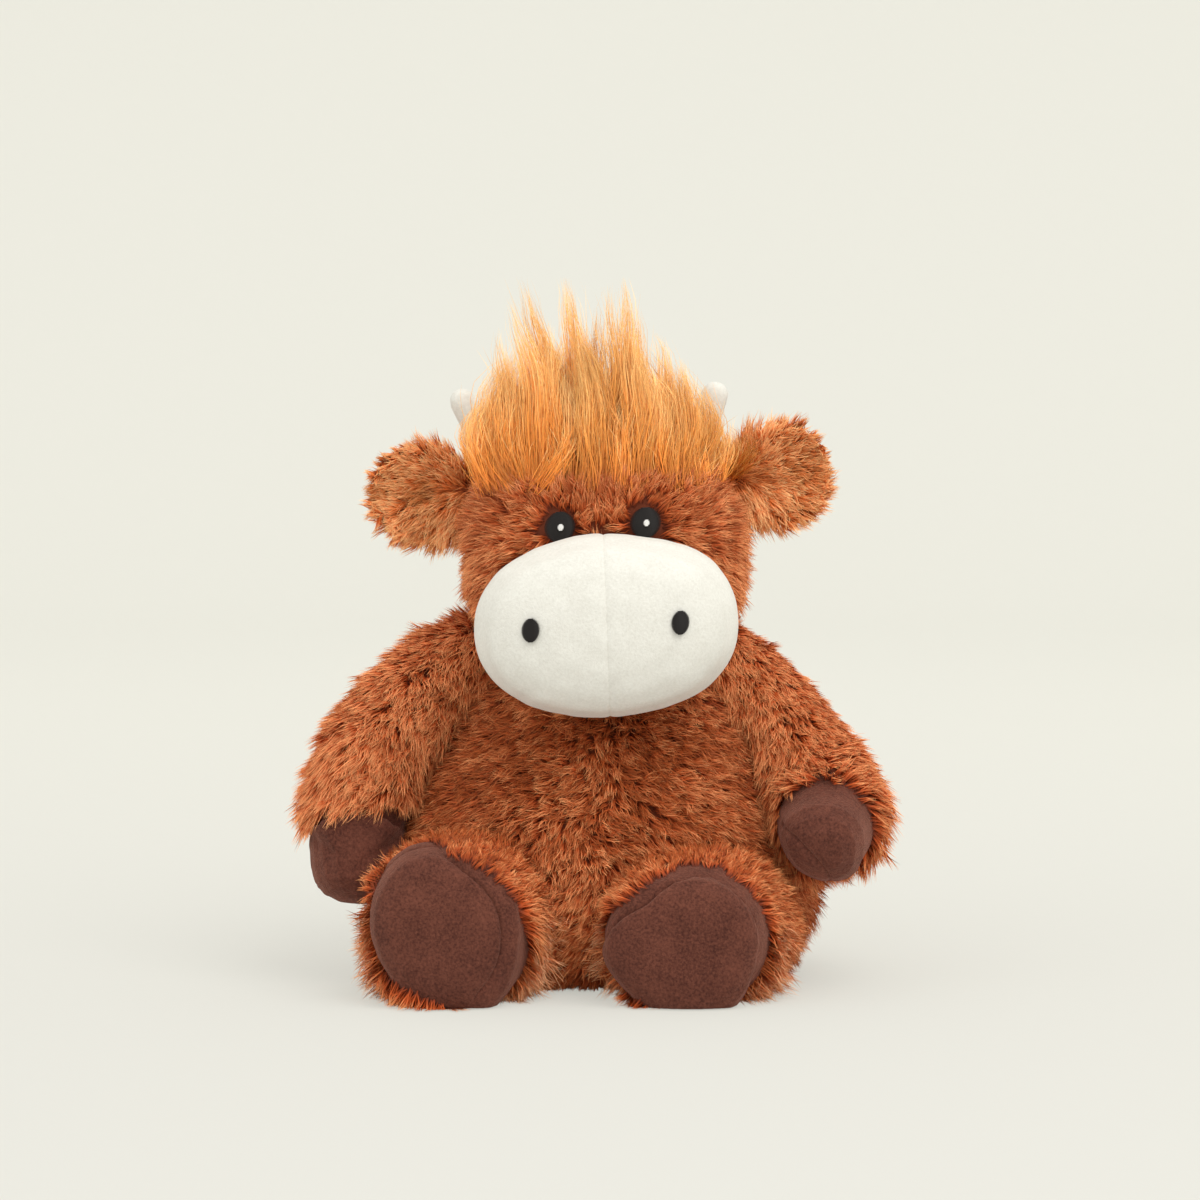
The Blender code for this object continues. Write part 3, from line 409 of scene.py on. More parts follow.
def strand_mesh(name, paths, widths, outward, tone, material, softness=0.55):
    """Tapered fibres as one mesh: ribbons folded along their middle, fold outward."""
    count, steps = paths.shape[:2]
    along = unit(np.gradient(paths, axis=1))
    facing = np.broadcast_to(outward[:, None, :], paths.shape)
    side = unit(np.cross(along, facing))
    lift = unit(np.cross(side, along))
    half = widths[..., None] / 2
    per = 3 * (steps - 1) + 1
    verts = np.empty((count, per, 3))
    shades = np.empty((count, per, 3))
    for place, (out, up) in enumerate(((-1, 0.35), (0, 1), (1, 0.35))):
        edge = paths + side * (half * out) + lift * (half * (FOLD_RISE * (out == 0)))
        verts[:, place : per - 1 : 3] = edge[:, :-1]
        round_off = unit(lift * up + side * out)
        soft = unit(facing * softness + round_off * (1 - softness))
        shades[:, place : per - 1 : 3] = soft[:, :-1]
    verts[:, -1] = paths[:, -1]
    shades[:, -1] = unit(facing * softness + lift * (1 - softness))[:, -1]
    verts[..., 2] = np.maximum(verts[..., 2], FLOOR_CLEAR)
    corners, starts = [], []
    for i in range(0, per - 4, 3):
        for left in (i, i + 1):
            starts.append(len(corners))
            corners += [left, left + 1, left + 4, left + 3]
    for left in (per - 4, per - 3):
        starts.append(len(corners))
        corners += [left, left + 1, per - 1]
    corners = np.array(corners)
    loops_per = len(corners)
    mesh = bpy.data.meshes.new(name)
    mesh.vertices.add(count * per)
    mesh.loops.add(count * loops_per)
    mesh.polygons.add(count * len(starts))
    mesh.vertices.foreach_set("co", verts.reshape(-1).astype(np.float32))
    loop_points = (np.arange(count) * per)[:, None] + corners[None, :]
    mesh.loops.foreach_set("vertex_index", loop_points.reshape(-1).astype(np.int32))
    loop_starts = (np.arange(count) * loops_per)[:, None] + np.array(starts)[None, :]
    mesh.polygons.foreach_set("loop_start", loop_starts.reshape(-1).astype(np.int32))
    share = np.append(np.repeat(np.linspace(0, 1, steps)[:-1], 3), 1.0)
    sides = np.append(np.tile((-1, 0, 1), steps - 1), 0)
    uv = np.empty((count, loops_per, 2), np.float32)
    uv[..., 0] = np.clip(tone, 0.01, 0.99)[:, None] + 0.0022 * sides[corners][None, :]
    uv[..., 1] = 0.02 + 0.96 * share[corners][None, :]
    layer = mesh.uv_layers.new(name="OFBake")
    layer.data.foreach_set("uv", uv.reshape(-1))
    mesh.update(calc_edges=True)
    mesh.shade_smooth()
    mesh.normals_split_custom_set_from_vertices(
        shades.reshape(-1, 3).astype(np.float32)
    )
    return link_mesh(name, mesh, material)


def pile_paths(places, facing, flow, length, lean, dice, gather=0.80, mess=0.30):
    """Bent fibres in tufts: each tuft shares a lean and draws its fibres to one tip."""
    count, each = len(places), (len(places), TUFT_FIBRES)
    flow = unit(flow - facing * (flow * facing).sum(1, keepdims=True))
    across = np.cross(facing, flow)
    sway = dice.normal(0, mess, count)
    flow = flow * np.cos(sway)[:, None] + across * np.sin(sway)[:, None]
    across = np.cross(facing, flow)
    length = length * dice.uniform(*LENGTH_RANGE, count)
    lean = lean + dice.normal(0, TUFT_LEAN, count)
    reach = TUFT_REACH * dice.uniform(*REACH_RANGE, count)[:, None]
    share = np.array(STRAND_POINTS)
    angle = dice.uniform(0, 2 * math.pi, each)
    spread = reach * np.sqrt(dice.uniform(0, 1, each))
    offset = (
        flow[:, None] * (np.cos(angle) * spread * TUFT_OVAL)[..., None]
        + across[:, None] * (np.sin(angle) * spread)[..., None]
    )
    own = dice.uniform(*STRAND_LENGTH, each) * length[:, None]
    own_lean = lean[:, None] + dice.normal(0, STRAND_LEAN, each)
    own_sway = dice.normal(0, STRAND_SWAY, each)
    curl = dice.normal(0, STRAND_CURL, each)
    upright, level = np.cos(own_lean)[..., None], np.sin(own_lean)[..., None]
    up = own[..., None] * upright * (share * (1.18 - 0.28 * share))
    over = own[..., None] * level * (share * (0.72 + 0.28 * share))
    pull = np.where(dice.random(each) < LOOSE_SHARE, LOOSE_GATHER, gather)
    drawn = 1 - pull[..., None] * share**1.3
    wide = own[..., None] * (
        own_sway[..., None] * share + curl[..., None] * np.sin(share * math.pi)
    )
    paths = (
        places[:, None, None] + offset[:, :, None] * drawn[..., None]
        + facing[:, None, None] * up[..., None] + flow[:, None, None] * over[..., None]
        + across[:, None, None] * wide[..., None]
    )
    aside = offset / reach[..., None]
    outward = unit((facing + 0.12 * flow)[:, None] + CLUMP_ROUND * aside)
    return paths.reshape(-1, len(share), 3), outward.reshape(-1, 3)


def grow_pile(
    name, places, facing, flow, length, lean, tone, body, seed, material=None,
    blend=None, **style,
):
    """Pile as one or more pieces that move with a body, none with too many fibres."""
    dice = np.random.default_rng(seed)
    order = np.argsort(np.arctan2(places[:, 0] - places[:, 0].mean(), -places[:, 1]))
    groups = np.array_split(order, math.ceil(len(places) * TUFT_FIBRES / MOST_STRANDS))
    for number, group in enumerate(groups, 1):
        tufts = (part[group] for part in (places, facing, flow, length, lean))
        paths, outward = pile_paths(*tufts, dice, **style)
        widths = STRAND_WIDTH * dice.uniform(*WIDTH_RANGE, len(paths))
        widths = np.array(STRAND_TAPER) * widths[:, None]
        shade = tone[group] + dice.normal(0, TUFT_TONE, len(group))
        shade = np.repeat(shade, TUFT_FIBRES) + dice.normal(0, STRAND_TONE, len(paths))
        piece = strand_mesh(
            f"{name}_{number}" if len(groups) > 1 else name, paths, widths, outward,
            shade, material or rust_pile,
        )
        if blend:
            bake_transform(piece, *blend)
        else:
            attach(piece, body)


def new_group(name, wanted, given):
    """A node group with its sockets, its entry and its exit."""
    group = bpy.data.node_groups.new(name, "ShaderNodeTree")
    for in_out, sockets in (("INPUT", wanted), ("OUTPUT", given)):
        for label, kind in sockets.items():
            group.interface.new_socket(
                label, in_out=in_out, socket_type="NodeSocket" + kind
            )
    enter = group.nodes.new("NodeGroupInput")
    return group, enter.outputs, group.nodes.new("NodeGroupOutput")


def shades_group():
    """Fibre colours: root to tip along V, dull to bright along U. The dark root is painted shade deep in the
    pile, the pale tip painted light on the fibre tips.
    """
    palette = ("Root", "Middle", "Tip", "Pale tip")
    sockets = {label: "Color" for label in palette}
    group, given, leave = new_group("fibre_shades", sockets, {"Colour": "Color"})
    place = add_node(group, "UVMap", uv_map="OFBake").outputs["UV"]
    parts = add_node(group, "SeparateXYZ", {"Vector": place}).outputs
    bright = ranged(group, parts["X"], 0.2, 0.95, kind="SMOOTHSTEP")
    lower = ranged(group, parts["Y"], 0.0, 0.5, kind="SMOOTHSTEP")
    upper = ranged(group, parts["Y"], 0.35, 1.0, kind="SMOOTHSTEP")
    tips = mixed(group, bright, given["Tip"], given["Pale tip"])
    stem = mixed(group, lower, given["Root"], given["Middle"])
    whole = mixed(group, upper, stem, tips)
    stretch = add_node(
        group, "VectorMath", {0: place, 1: (160.0, 3.0, 1.0)}, operation="MULTIPLY"
    ).outputs["Vector"]
    streak = add_node(
        group, "TexNoise", {"Vector": stretch, "Scale": 1.0, "Detail": 2.0},
        noise_dimensions="2D",
    ).outputs["Fac"]
    level = ranged(group, streak, 0.25, 0.75, 0.72, 1.22)
    lift = ranged(group, parts["X"], 0.0, 1.0, 0.62, 1.38)
    both = worked(group, "MULTIPLY", level, lift)
    final = mixed(group, 1.0, whole, both, "MULTIPLY")
    set_inputs(group, leave, {"Colour": final})
    return group


fibre_shades = shades_group()


def fibre_material(name, root, middle, tip, pale_tip, gloss, sheen, sheen_tint):
    made, tree, shader = new_material(name)
    colours = {"Root": root, "Middle": middle, "Tip": tip, "Pale tip": pale_tip}
    palette = {label: tint(*colour) for label, colour in colours.items()}
    shades = add_node(tree, "Group", palette, node_tree=fibre_shades)
    surface = {
        "Base Color": shades.outputs["Colour"], "Roughness": gloss,
        "Specular IOR Level": 0.35, "Sheen Weight": sheen, "Sheen Roughness": 0.45,
        "Sheen Tint": tint(*sheen_tint),
    }
    set_inputs(tree, shader, surface)
    return made


def two_tone(
    name, dark, light, kind, pattern, gloss, rise=0.0, strength=1.0, specular=0.5,
    space="Object", **settings,
):
    """Two tones in a fine pattern, which also raises the surface if rise is given."""
    made, tree, shader = new_material(name)
    place = add_node(tree, "TexCoord").outputs[space]
    grain = add_node(tree, kind, {"Vector": place, **pattern}, **settings)
    grain = grain.outputs["Fac"]
    tones = add_node(tree, "ValToRGB", {"Fac": grain})
    for element, colour in zip(tones.color_ramp.elements, (dark, light)):
        element.color = tint(*colour)
    surface = {"Base Color": tones.outputs["Color"], "Roughness": gloss}
    if rise:
        bump = {"Strength": strength, "Distance": rise, "Height": grain}
        surface["Normal"] = add_node(tree, "Bump", bump).outputs["Normal"]
    set_inputs(tree, shader, {**surface, "Specular IOR Level": specular})
    return made


# The dark root colour is painted shade deep in the pile, and the pale tip colour is painted light.
rust_pile = fibre_material(
    "rust_pile", (108, 38, 7), (184, 77, 21), (210, 106, 44), (240, 168, 110), 0.68,
    0.12, (255, 180, 120),
)
# A paler copy of the rust pile: the same plush with painted light, for pile that should look lit.
lit_pile = fibre_material(
    "lit_pile", (150, 68, 26), (216, 116, 58), (234, 152, 94), (250, 204, 158), 0.68,
    0.15, (255, 200, 150),
)
backing = two_tone(
    "brown_backing", (92, 38, 14), (118, 50, 20), "TexNoise", {"Scale": 900.0}, 0.95,
    rise=0.0004, strength=0.4, space="Generated",
)

body_cloth = stuffed_skin("body_cloth", ["body_skin", "body_filling"], backing)
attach(body_cloth, "body")
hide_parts("body_skin")

places, facing = rooted(body_cloth, np.random.default_rng(11))
x, y, z = places.T
front = ramp(-y, 0, 0.05)
parted = np.tanh((x - BODY_PARTING_X) / 0.010)
flow = np.stack(
    [
        front * parted * (0.25 + 0.5 * np.exp(-np.abs(x) / 0.03)) + x / 0.10 * 0.4,
        0.10 + 0.25 * (1 - front), -1.0 + 0.25 * front,
    ],
    axis=1,
)
flow[:, 0] += 0.45 * drift(places, 0.045, 21)
flow[:, 2] += 0.30 * drift(places, 0.050, 22)
length = BODY_PILE * (1 + 0.12 * drift(places, 0.03, 23))
shoulder = ramp(x, 0.02, 0.04) * ramp(z, 0.11, 0.03)
length *= 1 - 0.35 * shoulder
lean = 0.80 + 0.16 * drift(places, 0.035, 24)
tone = 0.45 + 0.16 * drift(places, 0.03, 25) + 0.22 * drift(places, 0.006, 26)
crotch = np.exp(-(((x + 0.012) / 0.03) ** 2 + ((z - 0.035) / 0.03) ** 2)) * front
tone += 0.34 * crotch
grow_pile("body_pile", places, facing, flow, length, lean, tone, "body", 31, mess=0.40)

# ---------------------------------------------------------------------------
# The head: a rounded bag of the same plush, stuffed firm. The pile sweeps up and out
# from the muzzle over the forehead, and down and out over the cheeks. It is cut
# short round the embroidered eyes.
# ---------------------------------------------------------------------------
HEAD_PILE = 0.0120
HEAD_SPACING = 0.0022
BROW = np.array((0.002, -0.057, 0.197))
EYES = {"left": (0.0207, -0.055, 0.2146), "right": (-0.0182, -0.055, 0.2125)}
EYE_CLEAR = 0.0078
EYE_RING = 0.008
EYE_OVAL = (1.08, 1, 1.0)
MUZZLE_MIDDLE = 0.19
MUZZLE_CLEAR = (0.0044, 0.0022)
HAIR_BAND = ((-0.002, -0.026, 0.238), (0.0505, 0.0262, 0.02))
HAIR_BAND_FLOOR = 0.226

head_cloth = stuffed_skin("head_cloth", ["head_skin", "head_filling"], backing)
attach(head_cloth, "head")
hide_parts("head_skin")

places, facing = rooted(head_cloth, np.random.default_rng(12), HEAD_SPACING)
away = places - BROW
x, y, z = places.T
front = ramp(-y, 0, 0.04)
flow = unit(away)
cheek = ramp(-z, -0.215, 0.02)
flow[:, 2] -= 0.85 * cheek + 0.9 * (1 - front) * ramp(-z, -0.235, 0.02)
flow[:, 1] += 0.3 * (1 - front)
flow[:, 0] += 0.25 * drift(places, 0.03, 41)
flow[:, 2] += 0.20 * drift(places, 0.03, 42)
wide = ramp(np.abs(x), 0.035, 0.015)
under_ear = wide * np.exp(-(((z - 0.214) / 0.010) ** 2))
fringe = front * ramp(z, 0.221, 0.008)
length = HEAD_PILE * (1 + 0.40 * under_ear - 0.22 * fringe)
length *= 1 + 0.1 * drift(places, 0.02, 43)
lean = 0.85 + 0.14 * drift(places, 0.03, 44)
muzzle_gap = nearest_gap(places, ["muzzle_left", "muzzle_right"])
keep = muzzle_gap > np.where(z > MUZZLE_MIDDLE, *MUZZLE_CLEAR)
for eye in EYES.values():
    off = places - np.array(eye)
    off[:, 1] = 0
    gap = np.linalg.norm(off * np.array(EYE_OVAL), axis=1)
    close = (gap < EYE_CLEAR) & (y < 0)
    keep &= ~close
    ring = np.where(y < 0, np.clip(1 - (gap - EYE_CLEAR) / EYE_RING, 0, 1), 0)
    flow += unit(off) * (2.2 * ring)[:, None]
    length *= 1 - 0.42 * ring
    lean += 0.15 * ring
band = (places - np.array(HAIR_BAND[0])) / np.array(HAIR_BAND[1])
keep &= ~(((band**2).sum(1) < 0.90) & (z > HAIR_BAND_FLOOR))
tone = 0.56 + 0.22 * cheek + 0.15 * drift(places, 0.02, 45)
tone += 0.10 * drift(places, 0.006, 46)
grow_pile(
    "head_pile", places[keep], facing[keep], flow[keep], length[keep], lean[keep],
    tone[keep], "head", 32, mess=0.40,
)

# ---------------------------------------------------------------------------
# The ears: two plush panels sewn face to face and turned, set into the sides of the
# head. Their pile fans out from the root, so the edge is shaggy all round.
# ---------------------------------------------------------------------------
EAR_PILE = 0.0150
EAR_SPACING = 0.0020
EAR_ROOTS = {"left": (0.060, 0.008, 0.232), "right": (-0.059, 0.008, 0.2255)}

# A paler, yellower copy of the pile for the ears: partly the ears' own tan, partly painted light.
ear_fibre = fibre_material(
    "ear_fibre", (150, 66, 20), (220, 116, 50), (242, 158, 86), (253, 208, 146), 0.68,
    0.15, (255, 200, 140),
)

for side, root in EAR_ROOTS.items():
    ear_cloth = stuffed_skin(
        f"ear_cloth_{side}", [f"ear_{side}_front", f"ear_{side}_back"], backing,
        voxel=0.0018, inset=0.0012, smooth=4,
    )
    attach(ear_cloth, f"ear_{side}")
    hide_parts(f"ear_{side}_front", f"ear_{side}_back")
    places, facing = rooted(ear_cloth, np.random.default_rng(13), EAR_SPACING)
    away = places - np.array(root)
    out = np.abs(away[:, 0]) / 0.05
    away[:, 1] *= 0.2
    away[:, 2] *= 2.6 - 1.6 * np.clip(out, 0, 1)
    flow = unit(away)
    flow[:, 2] -= 0.12
    flow[:, 2] += 0.3 * drift(places, 0.02, 51)
    corner = ramp(out, 0, 1) * ramp(away[:, 2], 0, 0.012)
    length = EAR_PILE * (1.05 - 0.50 * out - 0.25 * corner)
    length *= 1 + 0.1 * drift(places, 0.015, 52)
    lean = 0.92 + 0.15 * drift(places, 0.02, 53)
    # Painted shade and light: the pile is darker along the ear's middle crease and paler towards its outer
    # edge, where it catches light.
    middle = np.exp(-((away[:, 2] / 0.008) ** 2))
    tone = 0.76 - 0.30 * middle + 0.2 * drift(places, 0.015, 54)
    tone += 0.30 * np.clip(out - 0.4, 0, 1)
    grow_pile(
        f"ear_pile_{side}", places, facing, flow, length, lean, tone, f"ear_{side}", 33,
        gather=0.7, material=ear_fibre,
    )

# ---------------------------------------------------------------------------
# The arms: two stuffed plush sleeves sewn into the sides of the body. The pile runs
# down the sleeve and hangs over the cuff where the velour hoof is sewn in.
# ---------------------------------------------------------------------------
ARM_PILE = 0.0140
ARM_ENDS = {
    "left": ((0.060, 0.0, 0.150), (0.112, -0.062, 0.080)),
    "right": ((-0.060, 0.0, 0.150), (-0.112, -0.022, 0.072)),
}
CUFF_ROOTS = {"left": (0.0, 0.0), "right": (0.0845, 0.0765)}
ARM_TRIM = {"left": 0.40, "right": 0.10}
ARM_BEND = 0.036
SLEEVE_TOP = 0.115
ARM_NEAR = (0.0090, 0.0048)
HOOF_CLEAR = 0.0012
CUFF_SIDE = 0.128
SLEEVE_PLUG = 0.006
SHOULDER_RISE = (0.0, 0.0, 0.010)
limb_bends = {}

for side, (shoulder, cuff) in ARM_ENDS.items():
    arm_cloth = stuffed_skin(
        f"arm_cloth_{side}", [f"arm_skin_{side}", f"arm_filling_{side}"], backing,
        sewn=lambda points: points[:, 2] > SLEEVE_TOP,
        plug=(-SLEEVE_PLUG * np.sign(cuff[0]), 0.0, 0.0),
    )
    down = unit(np.array(cuff) - np.array(shoulder))
    root = np.array(shoulder) + SHOULDER_RISE
    bend = ("body", f"arm_{side}", tuple(root), tuple(root + down * ARM_BEND))
    limb_bends[f"arm_filling_{side}"] = bend
    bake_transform(arm_cloth, *bend)
    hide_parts(f"arm_skin_{side}")
    places, facing = rooted(arm_cloth, np.random.default_rng(14))
    sewn = places[:, 2] > SLEEVE_TOP
    keep = nearest_gap(places, [f"arm_skin_{side}"]) < np.where(sewn, *ARM_NEAR)
    keep &= nearest_gap(places, [f"hoof_{side}"]) > HOOF_CLEAR
    low_edge = np.where(np.abs(places[:, 0]) < CUFF_SIDE, *CUFF_ROOTS[side])
    keep &= places[:, 2] > low_edge
    places, facing = places[keep], facing[keep]
    outward = places - (
        np.array(shoulder) + np.outer((places - np.array(shoulder)) @ down, down)
    )
    flow = down[None, :] + 0.35 * unit(outward) + np.array((0, 0, -0.35))
    flow[:, 0] += 0.3 * drift(places, 0.04, 61)
    flow[:, 2] += 0.3 * drift(places, 0.04, 62)
    length = ARM_PILE * (1 + 0.12 * drift(places, 0.03, 63))
    lean = 0.92 + 0.15 * drift(places, 0.03, 64)
    above = np.clip(facing @ unit(np.array((np.sign(cuff[0]), 0, 1.0))), 0, 1)
    above *= ramp(places[:, 2], 0.085, 0.03)
    length *= 1 - ARM_TRIM[side] * above
    lean += 0.5 * ARM_TRIM[side] * above
    # Painted light: the sleeves take a paler tone than the body, and paler still on their outer sides, where
    # they catch light and sheen.
    tone = 0.88 + 0.15 * drift(places, 0.025, 65) + 0.2 * drift(places, 0.006, 66)
    tone += 0.35 * ramp(np.abs(places[:, 0]), 0.105, 0.02)
    grow_pile(
        f"arm_pile_{side}", places, facing, flow, length, lean, tone, f"arm_{side}", 34,
        blend=bend,
    )

# ---------------------------------------------------------------------------
# The legs: short stuffed plush tubes that point forward, sewn to the body behind and
# to the velour foot in front. Their pile stands out round the foot as a rim.
# ---------------------------------------------------------------------------
LEG_PILE = 0.0135
LEG_AXES = {"left": (0.043, 0.032), "right": (-0.064, 0.036)}
LEG_BEND = (-0.038, -0.064)
LEG_NEAR = (0.0090, 0.0044)
THIGH_BACK = -0.056
THIGH_PLUG = 0.008
FOOT_COVERS = -0.090
SKIRT_BACK = -0.058
RIM_SKIRT = 0.25

for side, (axis_x, axis_z) in LEG_AXES.items():
    leg_cloth = stuffed_skin(
        f"leg_cloth_{side}", [f"leg_skin_{side}", f"leg_filling_{side}"], backing,
        sewn=lambda points: points[:, 1] > THIGH_BACK, plug=(0.0, THIGH_PLUG, 0.0),
        covered=FOOT_COVERS,
    )
    hip, thigh = ((axis_x, y, axis_z) for y in LEG_BEND)
    bend = ("body", f"leg_{side}", hip, thigh)
    limb_bends[f"leg_filling_{side}"] = bend
    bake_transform(leg_cloth, *bend)
    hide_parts(f"leg_skin_{side}")
    places, facing = rooted(leg_cloth, np.random.default_rng(15))
    sewn = places[:, 1] > THIGH_BACK
    keep = nearest_gap(places, [f"leg_skin_{side}"]) < np.where(sewn, *LEG_NEAR)
    places, facing = places[keep], facing[keep]
    away = places - np.array((axis_x, 0, axis_z))
    away[:, 1] = 0
    flow = 0.9 * unit(away) + np.array((0, -0.75, 0))
    top = np.clip(unit(away)[:, 2], 0, 1)
    flow[:, 1] += 1.3 * top
    flow[:, 2] -= 0.15
    flow[:, 0] += 0.3 * drift(places, 0.03, 71)
    skirt = np.clip(0.35 - unit(away)[:, 2], 0, 1)
    skirt *= ramp(-places[:, 1], -SKIRT_BACK, 0.012)
    length = LEG_PILE * (1 - 0.35 * top + 0.12 * drift(places, 0.03, 73))
    length *= 1 + 0.50 * skirt
    lean = 0.80 + 0.3 * top - 0.35 * skirt + 0.15 * drift(places, 0.03, 74)
    tone = 0.84 - 0.45 * top + 0.12 * drift(places, 0.025, 75)
    tone += 0.1 * drift(places, 0.006, 76)
    # Painted light: the rim of pile round the foot takes the lit copy of the pile.
    rim = skirt > RIM_SKIRT
    for kind, part, fibre in (("pile", ~rim, rust_pile), ("rim", rim, lit_pile)):
        grow_pile(
            f"leg_{kind}_{side}", places[part], facing[part], flow[part], length[part],
            lean[part], tone[part] - 0.1 * rim[part], f"leg_{side}", 35, blend=bend,
            material=fibre,
        )

# ---------------------------------------------------------------------------
# The velour parts: muzzle, hooves and feet, cut from short-nap velour and stuffed.
# Each is one swollen form. Where two panels meet, the seam pulls in to a crease.
# ---------------------------------------------------------------------------
VELOUR_CELLS = 76
SEAM_DEPTH = 0.0019
SEAM_WIDTH = 0.0015
SEAM_CLEAR = 0.0004
SEAM_FLOOR = 0.008
OUTLINE_STEPS = 72
ROUNDING = 9
MOST_SWELL = 4.0
SOFTEN_FORM = (0.55, 0.50)
SOFTEN_FIT = (0.50, 0.47)
SAG_RISE = 0.030
SAG_AHEAD = 0.012
SAG_WIDE = 0.032
CREASE_BACK = -0.068


def sphere_grid(cells):
    """Evenly spread directions, as a rounded grid of quads."""
    grid = bmesh.new()
    bmesh.ops.create_cube(grid, size=2.0)
    bmesh.ops.subdivide_edges(
        grid, edges=grid.edges[:], cuts=cells - 1, use_grid_fill=True
    )
    for vert in grid.verts:
        vert.co = Vector(math.tan(c * math.pi / 4) for c in vert.co).normalized()
    return grid


def spans(flat, line):
    """Each span of a line in the front view: its start, step and gaps to points."""
    for start, end in zip(line[:-1], line[1:]):
        start, step = np.array(start), np.array(end) - np.array(start)
        share = np.clip((flat - start) @ step / (step @ step), 0, 1)
        off = flat - start - share[:, None] * step
        yield start, step, np.linalg.norm(off, axis=1)


def beyond(points, line):
    """How far points lie to the right of a line drawn in the front view."""
    flat = np.asarray(points)[:, [0, 2]]
    best = np.full(len(flat), 1e9)
    side = np.ones(len(flat))
    for start, step, gap in spans(flat, line):
        cross = step[0] * (flat[:, 1] - start[1]) - step[1] * (flat[:, 0] - start[0])
        near = gap < best
        best[near] = gap[near]
        side[near] = np.where(cross[near] < 0, 1, -1)
    return best * side


def outside(points, outline):
    """How far points lie outside a closed outline drawn in the front view."""
    flat = np.asarray(points)[:, [0, 2]]
    gap = np.full(len(flat), 1e9)
    within = np.zeros(len(flat), bool)
    for start, step, away in spans(flat, outline + outline[:1]):
        gap = np.minimum(gap, away)
        crosses = (flat[:, 1] < start[1]) != (flat[:, 1] < start[1] + step[1])
        level = (flat[:, 1] - start[1]) / (step[1] or 1e-9)
        within ^= crosses & (flat[:, 0] < start[0] + level * step[0])
    return np.where(within, -gap, gap)


def fit_outline(points, outline, least):
    """Swells points in the front view, so that they reach the given outline."""
    outline = np.array(outline)
    middle = (outline.max(0) + outline.min(0)) / 2
    want = outline - middle
    order = np.argsort(np.arctan2(want[:, 1], want[:, 0]))
    want = want[order]
    turns = np.linspace(-math.pi, math.pi, OUTLINE_STEPS, endpoint=False)
    wanted = np.interp(
        turns, np.arctan2(want[:, 1], want[:, 0]), np.hypot(want[:, 0], want[:, 1]),
        period=2 * math.pi,
    )
    flat = points[:, [0, 2]] - middle
    angle = np.arctan2(flat[:, 1], flat[:, 0])
    reach = np.hypot(flat[:, 0], flat[:, 1])
    slot = np.round((angle + math.pi) / (2 * math.pi) * OUTLINE_STEPS)
    slot = slot.astype(int) % OUTLINE_STEPS
    found = np.zeros(OUTLINE_STEPS)
    np.maximum.at(found, slot, reach)
    ratio = np.clip(wanted / np.maximum(found, 1e-6), least, MOST_SWELL)
    target = found * ratio
    for _ in range(ROUNDING):
        target = (np.roll(target, 1) + 2 * target + np.roll(target, -1)) / 4
    ratio = target / np.maximum(found, 1e-6)
    scale = np.interp(angle, turns, ratio, period=2 * math.pi)
    fitted = points.copy()
    fitted[:, [0, 2]] = middle + flat * scale[:, None]
    return fitted


